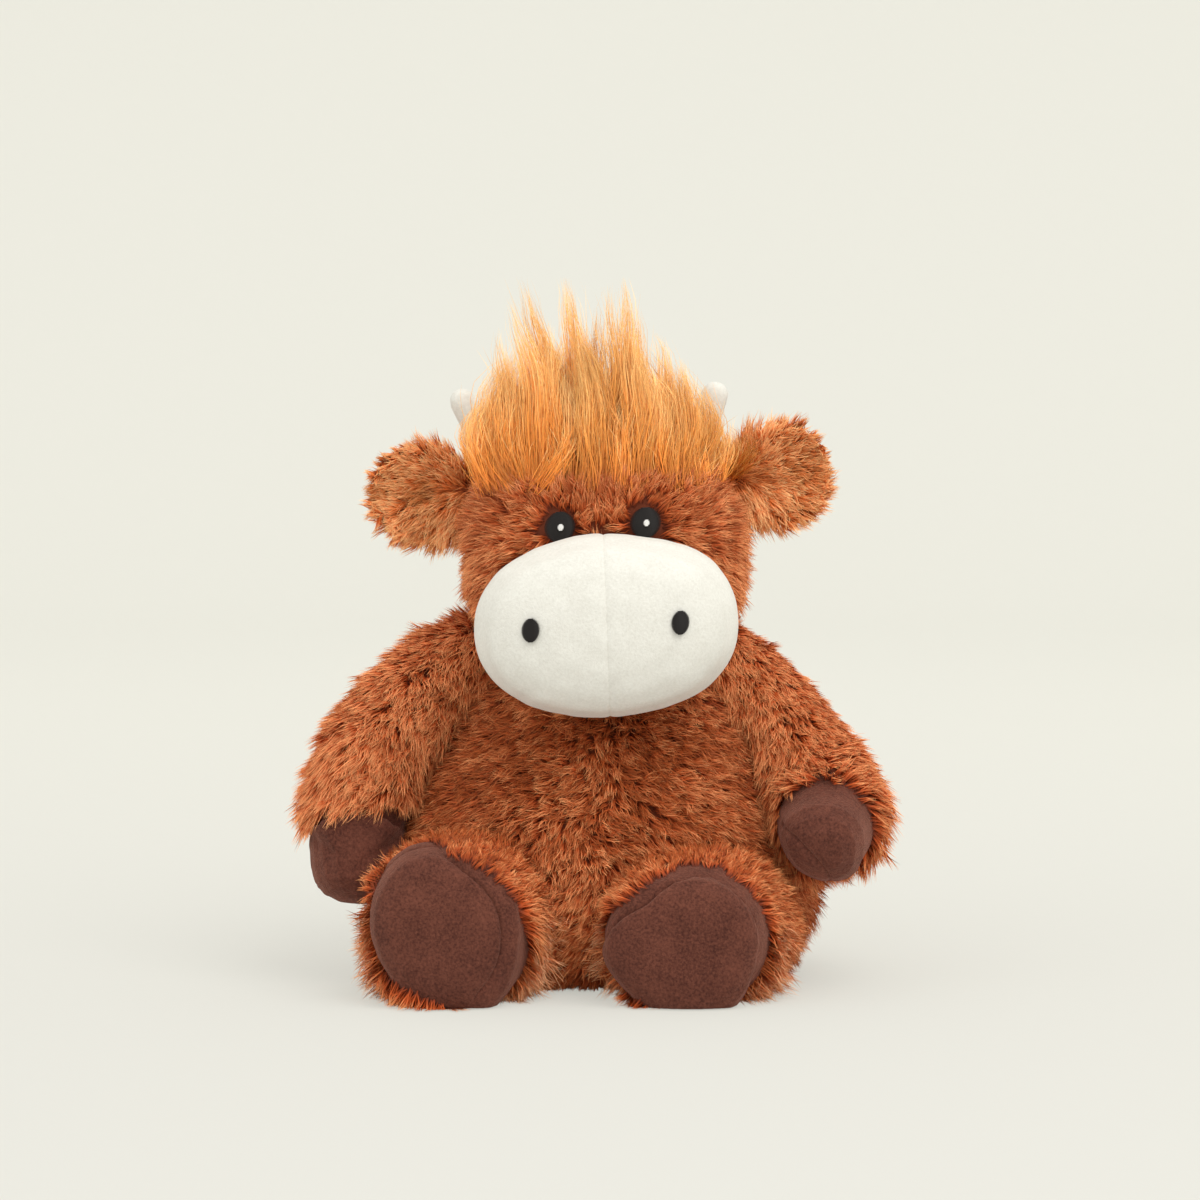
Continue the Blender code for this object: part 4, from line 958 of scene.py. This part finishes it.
def swollen_form(
    panels, inner, stuffing, centre, outline, side_of=None, soft=8, creases=(),
    least=0.99, depth=SEAM_DEPTH, sag=0.0,
):
    """The stuffed outside of some panels, cut in two where their seam runs."""
    points, faces = node_shape(*panels.values(), *inner)
    tree = BVHTree.FromPolygons(points, faces)
    centre = Vector(centre)
    grid = sphere_grid(VELOUR_CELLS)
    grid.verts.ensure_lookup_table()
    heading = np.array([vert.co[:] for vert in grid.verts])
    radius = np.full(len(heading), np.nan)
    for number, vert in enumerate(grid.verts):
        hit = tree.ray_cast(centre + vert.co * FAR, -vert.co, FAR)
        if hit[0] is not None:
            radius[number] = (hit[0] - centre).length
    beside = [[e.other_vert(v).index for e in v.link_edges] for v in grid.verts]
    widest = max(len(b) for b in beside)
    table = np.array([b + [b[0]] * (widest - len(b)) for b in beside])
    radius[np.isnan(radius)] = np.nanmin(radius)
    for _ in range(soft):
        radius += SOFTEN_FORM[0] * (radius[table].mean(1) - radius)
        radius -= SOFTEN_FORM[1] * (radius[table].mean(1) - radius)
    points = np.array(centre) + heading * radius[:, None]
    points = fit_outline(points, outline, least)
    for _ in range(soft // 2):
        points += SOFTEN_FIT[0] * (points[table].mean(1) - points)
        points -= SOFTEN_FIT[1] * (points[table].mean(1) - points)
    points = clear_of(points, stuffing)
    low = np.clip(1 - points[:, 2] / SAG_RISE, 0, 1)
    ahead = np.clip((centre.y - points[:, 1]) / SAG_AHEAD, 0, 1)
    ahead *= np.clip(1 - ((points[:, 0] - centre.x) / SAG_WIDE) ** 2, 0, 1)
    points[:, 2] = np.maximum(points[:, 2] - sag * low * ahead, FLOOR_CLEAR)
    layer = grid.verts.layers.float.new("beyond")
    reach = side_of(points) if side_of else np.ones(len(points))
    for vert, place, gap in zip(grid.verts, points, reach):
        vert.co = place
        vert[layer] = float(gap)
    if side_of:
        for edge in grid.edges[:]:
            first, last = (v[layer] for v in edge.verts)
            if first * last < 0:
                cut = bmesh.utils.edge_split(
                    edge, edge.verts[0], first / (first - last)
                )[1]
                cut[layer] = 0.0
        for face in grid.faces[:]:
            cut = [v for v in face.verts if v[layer] == 0.0]
            if len(cut) == 2 and not grid.edges.get(cut):
                bmesh.utils.face_split(face, cut[0], cut[1])
    grid.normal_update()
    inward = {
        v: -v.normal * pinch(v, layer, depth if side_of else 0.0, creases)
        for v in grid.verts
    }
    for vert, move in inward.items():
        vert.co += move
    settled = clear_of([vert.co[:] for vert in grid.verts], stuffing, SEAM_CLEAR)
    for vert, place in zip(grid.verts, settled):
        vert.co = place
    made = {}
    for number, piece_name in enumerate(panels):
        part = grid.copy()
        tag = part.verts.layers.float["beyond"]
        if side_of:
            other = [
                f for f in part.faces
                if (sum(v[tag] for v in f.verts) > 0) != (number == 0)
            ]
            bmesh.ops.delete(part, geom=other, context="FACES")
        bmesh.ops.recalc_face_normals(part, faces=part.faces[:])
        mesh = bpy.data.meshes.new(piece_name)
        part.to_mesh(mesh)
        part.free()
        mesh.shade_smooth()
        made[piece_name] = link_mesh(piece_name, mesh)
    grid.free()
    return made


def pinch(vert, layer, depth, creases):
    """How deep a seam pulls the cloth in at a point."""
    deep = depth * math.exp(-abs(vert[layer]) / SEAM_WIDTH)
    deep *= min(1.0, vert.co.z / SEAM_FLOOR)
    for line, depth, width in creases:
        if vert.co.y < CREASE_BACK:
            gap = abs(beyond([vert.co], line)[0])
            deep = max(deep, depth * math.exp(-gap / width))
    return deep


def nap_group():
    """Short nap: brushed patches, fine fibres and their height."""
    group, given, leave = new_group(
        "velour_nap", {"Shade": "Color", "Light": "Color", "Patch size": "Float"},
        {"Colour": "Color", "Height": "Float"},
    )
    place = add_node(group, "TexCoord").outputs["Object"]

    def noise(scale, detail, roughness):
        inputs = {"Scale": scale, "Detail": detail, "Roughness": roughness}
        node = add_node(group, "TexNoise", {"Vector": place, **inputs})
        return node.outputs["Fac"]

    patches = ranged(group, noise(given["Patch size"], 5.0, 0.62), 0.2, 0.8)
    weaker = worked(group, "MULTIPLY", patches, 0.45)
    height = worked(group, "MULTIPLY_ADD", noise(800.0, 4.0, 0.7), 1.6, weaker)
    level = ranged(group, height, 0.70, 1.35)
    tone = mixed(group, level, given["Shade"], given["Light"])
    set_inputs(group, leave, {"Colour": tone, "Height": height})
    return group


velour_nap = nap_group()


def velour(name, shade, light, patch, sheen, sheen_tint, rise=0.00035):
    made, tree, shader = new_material(name)
    palette = {"Shade": tint(*shade), "Light": tint(*light), "Patch size": patch}
    nap = add_node(tree, "Group", palette, node_tree=velour_nap)
    bump = {"Strength": 0.5, "Distance": rise, "Height": nap.outputs["Height"]}
    surface = {
        "Base Color": nap.outputs["Colour"],
        "Normal": add_node(tree, "Bump", bump).outputs["Normal"], "Roughness": 0.85,
        "Specular IOR Level": 0.2, "Sheen Weight": sheen, "Sheen Roughness": 0.45,
        "Sheen Tint": tint(*sheen_tint),
    }
    set_inputs(tree, shader, surface)
    return made


def tenths(*points):
    """Points of the front view in tenths of a millimetre, as metres."""
    return [(x / 10000, z / 10000) for x, z in points]


white_velour = velour(
    "white_velour", (216, 214, 205), (230, 229, 221), 90.0, 0.12, (255, 255, 250)
)
brown_velour = velour(
    "brown_velour", (66, 31, 23), (118, 68, 53), 75.0, 0.50, (205, 150, 130),
    rise=0.0011,
)

MUZZLE_OUTLINE = tenths(
    (-573, 1682), (-554, 1818), (-504, 1908), (-405, 1981), (-248, 2048), (-113, 2084),
    (45, 2102), (180, 2076), (293, 2068), (405, 2057), (509, 2008), (586, 1908),
    (622, 1773), (627, 1636), (587, 1500), (488, 1396), (361, 1338), (203, 1301),
    (23, 1278), (-160, 1286), (-328, 1324), (-405, 1363), (-476, 1414), (-530, 1478),
    (-562, 1552),
)
MUZZLE_SEAM = tenths((52, 1100), (44, 1337), (18, 2009), (8, 2300))
muzzle = swollen_form(
    {"muzzle_panel_left": "muzzle_left", "muzzle_panel_right": "muzzle_right"},
    ["muzzle_filling"], ["muzzle_filling"], (0.0025, -0.066, 0.169), MUZZLE_OUTLINE,
    side_of=lambda points: beyond(points, MUZZLE_SEAM), soft=140, least=0.955,
    depth=0.0008,
)
for piece_name, panel in muzzle.items():
    panel.data.materials.append(white_velour)
    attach(panel, "head")
    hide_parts(piece_name.replace("_panel", ""))

SOLE_BACK = -0.091
RIM_PILE = 0.0120
RIM_SPACING = 0.0024
RIM_STAND = 0.0006
FEET = {
    "left": (
        (0.040, -0.088, 0.033),
        tenths(
            (-4, 279), (13, 333), (54, 419), (157, 505), (259, 577), (364, 618),
            (452, 622), (554, 591), (640, 532), (709, 455), (752, 349), (757, 245),
            (735, 139), (695, 53), (605, 3), (486, -6), (365, -6), (229, 21), (125, 71),
            (54, 134), (13, 211),
        ),
        tenths(
            (0, 290), (12, 312), (36, 366), (107, 425), (209, 485), (262, 535),
            (338, 586), (420, 606), (505, 598), (575, 562), (640, 505), (690, 435),
            (720, 360), (728, 290), (715, 195), (681, 87), (638, -12),
        ),
    ),
    "right": (
        (-0.066, -0.088, 0.037),
        tenths(
            (-1034, 433), (-961, 613), (-907, 681), (-827, 722), (-751, 715),
            (-670, 681), (-581, 649), (-505, 604), (-447, 564), (-403, 514),
            (-371, 446), (-349, 356), (-327, 252), (-332, 161), (-359, 84), (-403, 26),
            (-471, 3), (-560, -2), (-650, 16), (-753, 48), (-843, 89), (-932, 139),
            (-985, 207), (-1021, 275), (-1034, 356),
        ),
        tenths(
            (-756, 762), (-700, 702), (-640, 655), (-580, 610), (-525, 560),
            (-478, 500), (-448, 430), (-434, 350), (-438, 270), (-460, 200),
            (-495, 130), (-545, 70), (-589, -12),
        ),
    ),
}
for side, (middle, outline, seam) in FEET.items():
    foot = swollen_form(
        {
            f"foot_sole_panel_{side}": f"foot_sole_{side}",
            f"foot_upper_panel_{side}": f"foot_upper_{side}",
        },
        [f"leg_filling_{side}"], [f"leg_filling_{side}"], middle, outline,
        side_of=lambda points, seam=seam: np.minimum(
            beyond(points, seam), SOLE_BACK - points[:, 1]
        ),
        soft=40, least=0.94, sag=0.0060,
    )
    for piece_name, panel in foot.items():
        panel.data.materials.append(brown_velour)
        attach(panel, f"leg_{side}")
        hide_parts(piece_name.replace("_panel", ""))
    rim_dice = np.random.default_rng(18)
    rim_roots = [rooted(panel, rim_dice, RIM_SPACING) for panel in foot.values()]
    places, facing = (np.concatenate(part) for part in zip(*rim_roots))
    keep = outside(places, outline) > RIM_STAND
    places, facing = places[keep], facing[keep]
    away = places - np.array(middle)
    away[:, 1] = 0
    top = np.clip(unit(away)[:, 2], 0, 1)
    flow = unit(away) + np.array((0, -0.25, -0.1))
    flow[:, 1] += 1.0 * top
    grow_pile(
        f"foot_rim_{side}", places, facing, flow, RIM_PILE * (1 - 0.5 * top),
        0.75 + 0.3 * top + 0.15 * drift(places, 0.02, 91),
        0.92 - 0.55 * top + 0.12 * drift(places, 0.02, 92), f"leg_{side}", 37,
        mess=0.35,
    )

CUFF_STAND = 0.0012
CUFF_PILE = 0.0130
CUFF_BAND = 0.0815
HOOVES = {
    "left": (
        (0.1045, -0.071, 0.077),
        tenths(
            (809, 787), (820, 833), (874, 897), (969, 938), (1061, 944), (1154, 897),
            (1209, 833), (1232, 740), (1219, 646), (1173, 568), (1093, 527),
            (1032, 513), (952, 550), (860, 629), (820, 692),
        ),
        tenths((806, 794), (878, 739), (946, 669), (1025, 576), (1046, 521)),
    ),
    "right": (
        (-0.111, -0.032, 0.054),
        tenths(
            (-1350, 698), (-1332, 619), (-1318, 520), (-1277, 422), (-1198, 375),
            (-1101, 354), (-999, 385), (-929, 469), (-896, 539), (-891, 619),
            (-900, 731), (-974, 790), (-1085, 806), (-1243, 790), (-1340, 750),
        ),
        (),
    ),
}
for side, (middle, outline, seam) in HOOVES.items():
    hoof = swollen_form(
        {f"hoof_bag_{side}": f"hoof_{side}"}, [], [f"arm_filling_{side}"], middle,
        outline, soft=20, least=0.90, creases=[(seam, 0.0018, 0.0012)] if seam else (),
    )
    for panel in hoof.values():
        panel.data.materials.append(brown_velour)
        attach(panel, f"arm_{side}")
        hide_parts(f"hoof_{side}")
        if side == "right":
            continue
        places, facing = rooted(panel, np.random.default_rng(19), RIM_SPACING)
        keep = outside(places, outline) > CUFF_STAND
        hanging = ramp(places[:, 0] - middle[0], 0.008, 0.010)
        keep &= places[:, 2] > middle[2] - 0.014 * hanging
        places, facing = places[keep], facing[keep]
        away = places - np.array(middle)
        flow = unit(away) * np.array((1.0, 0.3, 0.2)) + np.array((0, 0, -0.6))
        grow_pile(
            f"cuff_rim_{side}", places, facing, flow, np.full(len(places), CUFF_PILE),
            0.70 + 0.15 * drift(places, 0.02, 93),
            0.85 + 0.12 * drift(places, 0.02, 94), f"arm_{side}", 38, mess=0.35,
        )

sleeve = bpy.data.objects["arm_cloth_right"].data
sleeve.materials.append(brown_velour)
for face in sleeve.polygons:
    if face.center.z < CUFF_BAND:
        face.material_index = 1

# ---------------------------------------------------------------------------
# The eyes and nostrils: ovals of black satin stitch, each row one thread laid over
# the oval and turned in at its ends. A small white oval is stitched on each eye.
# ---------------------------------------------------------------------------
THREAD_SIDES = 6
THREAD_STEPS = 11
THREAD_TUCK = 0.0011


def satin_oval(name, node, pitch, radius, crown, stand, slant, material, shape):
    """Rows of thread over the face of a CAD oval, as one mesh."""
    low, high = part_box(node)
    middle_x, middle_z = (low.x + high.x) / 2, (low.z + high.z) / 2
    half_wide = (high.x - low.x) / 2 * shape[0]
    half_high = (high.z - low.z) / 2 * shape[1]
    points, faces = node_shape(node)
    tree = BVHTree.FromPolygons(points, faces)
    rows = max(3, int(2 * half_high / pitch))
    verts, quads = [], []
    for row in range(rows):
        height = ((row + 0.5) / rows * 2 - 1) * 0.985
        reach = half_wide * math.sqrt(max(0.0, 1 - height**2))
        ring_start = len(verts)
        for step in range(THREAD_STEPS):
            across = (step / (THREAD_STEPS - 1) * 2 - 1) * reach
            x = middle_x + across
            z = middle_z + height * half_high + slant * across
            hit = tree.ray_cast(Vector((x, low.y - 0.01, z)), Vector((0, 1, 0)))
            if hit[0] is None:
                hit = tree.find_nearest(Vector((x, low.y, z)))
            dome = 1 - (across / half_wide) ** 2 - height**2
            end = abs(across) / max(reach, 1e-6)
            y = hit[0].y - stand - crown * max(0.0, dome) + THREAD_TUCK * end**6
            slim = radius * (1 - 0.45 * end**6)
            for corner in range(THREAD_SIDES):
                turn = 2 * math.pi * corner / THREAD_SIDES
                verts.append(
                    (x, y - slim * math.cos(turn), z + slim * 1.05 * math.sin(turn))
                )
        for step in range(THREAD_STEPS - 1):
            for corner in range(THREAD_SIDES):
                a = ring_start + step * THREAD_SIDES + corner
                b = ring_start + step * THREAD_SIDES + (corner + 1) % THREAD_SIDES
                quads.append((a, b, b + THREAD_SIDES, a + THREAD_SIDES))
        last = ring_start + (THREAD_STEPS - 1) * THREAD_SIDES
        quads.append(tuple(ring_start + c for c in reversed(range(THREAD_SIDES))))
        quads.append(tuple(last + c for c in range(THREAD_SIDES)))
    mesh = bpy.data.meshes.new(name)
    mesh.from_pydata(verts, [], quads)
    mesh.shade_smooth()
    return link_mesh(name, mesh, material)


THREADS = {
    name: two_tone(
        name, dark, light, "TexWave", {"Scale": 700.0, "Distortion": 1.5}, gloss,
        specular=0.3, bands_direction="DIAGONAL",
    )
    for name, dark, light, gloss in (
        ("black_thread", (14, 11, 10), (34, 29, 27), 0.5),
        ("white_thread", (225, 224, 220), (245, 245, 242), 0.45),
    )
}
EYE_SHAPE = (1.04, 0.95)
OVALS = {
    "eye": ("black_thread", 0.00046, 0.00029, 0.0009, 0.0022, 0.06),
    "eye_glint": ("white_thread", 0.00044, 0.00026, 0.0002, 0.0030, 0.06),
    "nostril": ("black_thread", 0.00046, 0.00029, 0.0005, 0.0003, 0.08),
}
for side in ("left", "right"):
    for oval, (thread, *sizes) in OVALS.items():
        node = f"{oval}_{side}"
        name = f"{oval.replace('eye_', '')}_stitches_{side}"
        shape = EYE_SHAPE if oval == "eye" else (1, 1)
        piece = satin_oval(name, node, *sizes, THREADS[thread], shape)
        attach(piece, "head")
        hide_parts(node)

# ---------------------------------------------------------------------------
# The forelock: long golden faux hair, sewn in across the crown between the horns and
# brushed up. It stands in wavy locks that run out to fine points.
# ---------------------------------------------------------------------------
HAIR_STEPS = 8
HAIR_PIECES = 3
HAIR_WIDTH = 0.00032
HAIR_TOP = 0.3262
HAIR_LINE = 0.2325
HAIR_PEAKS = (
    (-0.90, 0.2, -0.0525, 0.274, 110), (-0.80, 0.1, -0.0490, 0.289, 120),
    (-0.68, 0.3, -0.0465, 0.302, 130), (-0.56, 0.1, -0.0410, 0.315, 150),
    (-0.44, 0.4, -0.0370, 0.326, 170), (-0.36, 0.6, -0.0300, 0.310, 130),
    (-0.24, 0.2, -0.0235, 0.306, 130), (-0.20, 0.5, -0.0165, 0.326, 230),
    (-0.06, 0.2, -0.0100, 0.308, 130), (0.08, 0.6, -0.0010, 0.311, 130),
    (0.18, 0.4, 0.0045, 0.322, 140), (0.32, 0.2, 0.0105, 0.326, 190),
    (0.42, 0.6, 0.0165, 0.312, 150), (0.54, 0.3, 0.0255, 0.300, 150),
    (0.70, 0.4, 0.0370, 0.288, 140), (0.86, 0.3, 0.0470, 0.277, 120),
)
HAIR_SIDE_CURLS = [
    (1.10, 0.50, 0.0585, 0.262, 110, 0.0054, 0.30),
    (1.17, 0.72, 0.0600, 0.255, 110, 0.0054, 0.30),
    (1.12, 0.95, 0.0590, 0.258, 90, 0.0050, 0.30),
]
HAIR_TURN = 6.28
HAIR_BASE = 0.238
HAIR_BACK = 0.70
GOLDEN_SHARE = 0.618034
HAIR_MASS_LOCKS = 110
HAIR_MASS_STRANDS = 145
HAIR_EDGE_X = (-60, -52, -44, -36, -24, -12, 0, 12, 24, 38, 50, 58)
HAIR_EDGE_Z = (256, 278, 293, 302, 303, 305, 303, 303, 295, 283, 268, 250)

hair_dice = np.random.default_rng(16)
crown_tree = BVHTree.FromObject(head_cloth, bpy.context.evaluated_depsgraph_get())


def crown_at(x, y):
    hit = crown_tree.ray_cast(Vector((x, y, 0.32)), Vector((0, 0, -1)))
    return hit[0].z if hit[0] is not None else 0.232


hair_share = np.linspace(0, 1, HAIR_STEPS)
locks = [(u, depth, x, z, n, 0.0054, 0.50) for u, depth, x, z, n in HAIR_PEAKS]
for number in range(HAIR_MASS_LOCKS):
    u = ((number * GOLDEN_SHARE) % 1.0) * 2 - 1
    x = -0.0015 + 0.050 * u * (1 - 0.10 * abs(u)) + hair_dice.normal(0, 0.006)
    edge = np.interp(x * 1000, HAIR_EDGE_X, HAIR_EDGE_Z) / 1000
    depth = (number + 0.5) / HAIR_MASS_LOCKS
    rise = HAIR_BASE + (edge - HAIR_BASE) * hair_dice.uniform(0.62, 1.0)
    locks.append((u, depth, x, rise, HAIR_MASS_STRANDS, 0.0062, 0.30))
locks += HAIR_SIDE_CURLS
strands = []
for u, depth, tip_x, tip_z, count, width, shortest in locks:
    root_x = -0.0010 + 0.0490 * u
    root_y = -0.0520 + 0.046 * depth + 0.012 * u * u * (1 - depth)
    root_z = max(crown_at(root_x, root_y), HAIR_LINE) - 0.0025
    root = np.array((root_x, root_y, root_z))
    tip = np.array((tip_x, root_y * 0.45 - 0.006 + hair_dice.normal(0, 0.004), tip_z))
    control = root * 0.45 + tip * 0.55 + np.array((0, -0.005, 0.0))
    control[0] = root_x + u * abs(u) * (0.012 if u < 0 else 0.013)
    control[0] += hair_dice.normal(0, 0.0075)
    ends = shortest + (1.03 - shortest) * hair_dice.random(count) ** 0.95
    t = hair_share[None, :] * ends[:, None]
    angle = hair_dice.uniform(0, HAIR_TURN, count)
    spread = np.sqrt(hair_dice.uniform(0, 1, count)) * width
    bend = hair_dice.normal(0, 0.0055, (count, 3)) * np.array((1, 0.7, 0.5))
    spine = (
        root * ((1 - t) ** 2)[..., None]
        + (control + bend)[:, None] * (2 * t * (1 - t))[..., None]
        + tip * (t**2)[..., None]
    )
    beat = hair_dice.uniform(0.9, 1.7)
    phase = hair_dice.uniform(0, HAIR_TURN, 2)
    swing = hair_dice.uniform(0.0015, 0.0045)
    for axis in (0, 1):
        wave = np.sin(HAIR_TURN * beat * t + phase[axis])
        spine[..., axis] += swing * wave * t * (1.15 - t)
    narrow = 1 - 0.86 * np.clip(t, 0, 1) ** 0.8
    spine[..., 0] += (np.cos(angle) * spread)[:, None] * narrow
    spine[..., 1] += (np.sin(angle) * spread * 0.8)[:, None] * narrow
    own = hair_dice.normal(0, 0.0014, (count, 2))
    own_phase = hair_dice.uniform(0, HAIR_TURN, (count, 2))
    stray = hair_dice.normal(0, 0.0011, (count, 2))
    wild = hair_dice.random(count) < 0.12
    stray[wild] *= 4.5
    for axis in (0, 1):
        spine[..., axis] += (
            own[:, axis][:, None]
            * np.sin(hair_share[None, :] * 7.0 + own_phase[:, axis][:, None])
            * hair_share[None, :] + stray[:, axis][:, None] * hair_share[None, :] ** 2
        )
    spine[..., 2] += hair_dice.normal(0, 0.0022, count)[:, None] * (1 - t)
    spine[..., 2] = np.minimum(spine[..., 2], HAIR_TOP)
    widths = (
        HAIR_WIDTH * hair_dice.uniform(0.6, 1.3, count)[:, None]
        * (1 - hair_share[None, :] ** 1.8 * 0.80)
    )
    tones = hair_dice.uniform(0.38, 0.85) + hair_dice.normal(0, 0.17, count)
    facing = np.empty((count, 3))
    facing[:, 0] = u * 0.5 + np.cos(angle) * 0.55
    facing[:, 1:] = (-1.0, 0.30) if depth < HAIR_BACK else (0.35, 0.8)
    strands.append((spine, widths, unit(facing), tones))

# As in every pile, the darker root colour is painted shade and the pale tip colour painted light.
gold_hair = fibre_material(
    "gold_hair", (206, 116, 38), (238, 154, 62), (246, 178, 88), (253, 216, 146), 0.45,
    0.10, (255, 220, 170),
)
for number, group in enumerate(np.array_split(np.arange(len(locks)), HAIR_PIECES), 1):
    parts = (np.concatenate(part) for part in zip(*(strands[k] for k in group)))
    forelock = strand_mesh(f"forelock_hair_{number}", *parts, gold_hair, softness=0.5)
    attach(forelock, "head")
    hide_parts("forelock")

# ---------------------------------------------------------------------------
# The horns: two short stuffed cones of white velour beside the forelock. They lean
# outward and end round.
# ---------------------------------------------------------------------------
HORN_FLARE = {"left": -0.0005, "right": 0.0035}
HORN_SHIFT = {"left": -0.0036, "right": 0.0}
HORN_RISE = {"left": 0.0, "right": 0.0030}

for side, outward in (("left", 1), ("right", -1)):
    horn = stuffed_skin(
        f"horn_cone_{side}", [f"horn_{side}"], white_velour, voxel=0.0013,
        inset=-0.0009, smooth=6,
    )
    low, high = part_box(f"horn_{side}")
    for vert in horn.data.vertices:
        rise = max(0.0, (vert.co.z - low.z) / (high.z - low.z))
        vert.co.x += outward * (HORN_SHIFT[side] + HORN_FLARE[side] * rise)
        vert.co.z += HORN_RISE[side] * rise
    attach(horn, "head")
    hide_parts(f"horn_{side}")

# ---------------------------------------------------------------------------
# The tail: a narrow plush tube sewn to the seat behind, with a tuft of golden hair at
# its end.
# ---------------------------------------------------------------------------
TAIL_PILE = 0.0085
TAIL_BEND = ("body", "tail", (0.0, 0.072, 0.068), (0.0, 0.077, 0.050))
TUFT_STRANDS = 2200

tail_cloth = stuffed_skin("tail_cloth", ["tail"], backing, voxel=0.0014, inset=0.0006)
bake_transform(tail_cloth, *TAIL_BEND)
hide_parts("tail")
tail_dice = np.random.default_rng(17)
places, facing = rooted(tail_cloth, tail_dice, HEAD_SPACING)
flow = np.tile((0.0, 0.3, -1.0), (len(places), 1))
grow_pile(
    "tail_pile", places, facing, flow, np.full(len(places), TAIL_PILE),
    np.full(len(places), 1.1), 0.45 + 0.15 * drift(places, 0.02, 81), "tail", 36,
    blend=TAIL_BEND,
)
low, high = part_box("tail_tuft")
middle = np.array(((low.x + high.x) / 2, (low.y + high.y) / 2 - 0.001, high.z))
angle = tail_dice.uniform(0, 6.28, TUFT_STRANDS)
spread = np.sqrt(tail_dice.uniform(0, 1, TUFT_STRANDS))
share = np.linspace(0, 1, 6)
fan = (0.30 + 0.95 * np.sin(np.clip(share * 1.15, 0, 1) * math.pi * 0.85)) * 0.0085
tuft_paths = np.empty((TUFT_STRANDS, 6, 3))
reach = tail_dice.uniform(0.70, 1.0, TUFT_STRANDS) * (high.z - low.z + 0.002)
tuft_paths[..., 0] = middle[0] + (np.cos(angle) * spread)[:, None] * fan
tuft_paths[..., 1] = middle[1] + (np.sin(angle) * spread)[:, None] * fan
tuft_paths[..., 2] = middle[2] + 0.004 - reach[:, None] * share * 1.18
tuft = strand_mesh(
    "tail_tuft_hair", tuft_paths,
    0.0007 * (1 - share[None, :] ** 2 * 0.9) * np.ones((TUFT_STRANDS, 1)),
    unit(np.stack([np.cos(angle), np.sin(angle), np.zeros(TUFT_STRANDS)], axis=1)),
    tail_dice.uniform(0.1, 0.8, TUFT_STRANDS), gold_hair,
)
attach(tuft, "tail")
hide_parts("tail_tuft")

# ---------------------------------------------------------------------------
# The stuffing: loose white fibre in the body, head and limbs, and a cotton pouch of
# pellets low in the body, all shut inside the cloth.
# ---------------------------------------------------------------------------
fibre_wad = two_tone(
    "fibre_wad", (214, 212, 206), (240, 240, 236), "TexNoise",
    {"Scale": 260.0, "Detail": 6.0}, 0.95, rise=0.0012,
)
pouch_cloth = two_tone(
    "pouch_cloth", (196, 186, 166), (222, 214, 196), "TexNoise",
    {"Scale": 900.0, "Detail": 6.0}, 0.95, rise=0.0003,
)
for node, bend in limb_bends.items():
    form = bmesh.new()
    form.from_mesh(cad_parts[node].data)
    bmesh.ops.subdivide_edges(form, edges=form.edges[:], cuts=2, use_grid_fill=True)
    wad_mesh = bpy.data.meshes.new(node.replace("filling", "wad"))
    form.to_mesh(wad_mesh)
    form.free()
    wad_mesh.materials.clear()
    wad = link_mesh(wad_mesh.name, wad_mesh, fibre_wad)
    wad_mesh.shade_smooth()
    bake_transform(wad, *bend)
    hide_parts(node)
for node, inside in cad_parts.items():
    if node not in limb_bends and ("filling" in node or node == "pellet_pouch"):
        chosen = fibre_wad if "filling" in node else pouch_cloth
        inside.data.materials.clear()
        inside.data.materials.append(chosen)

low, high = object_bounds()
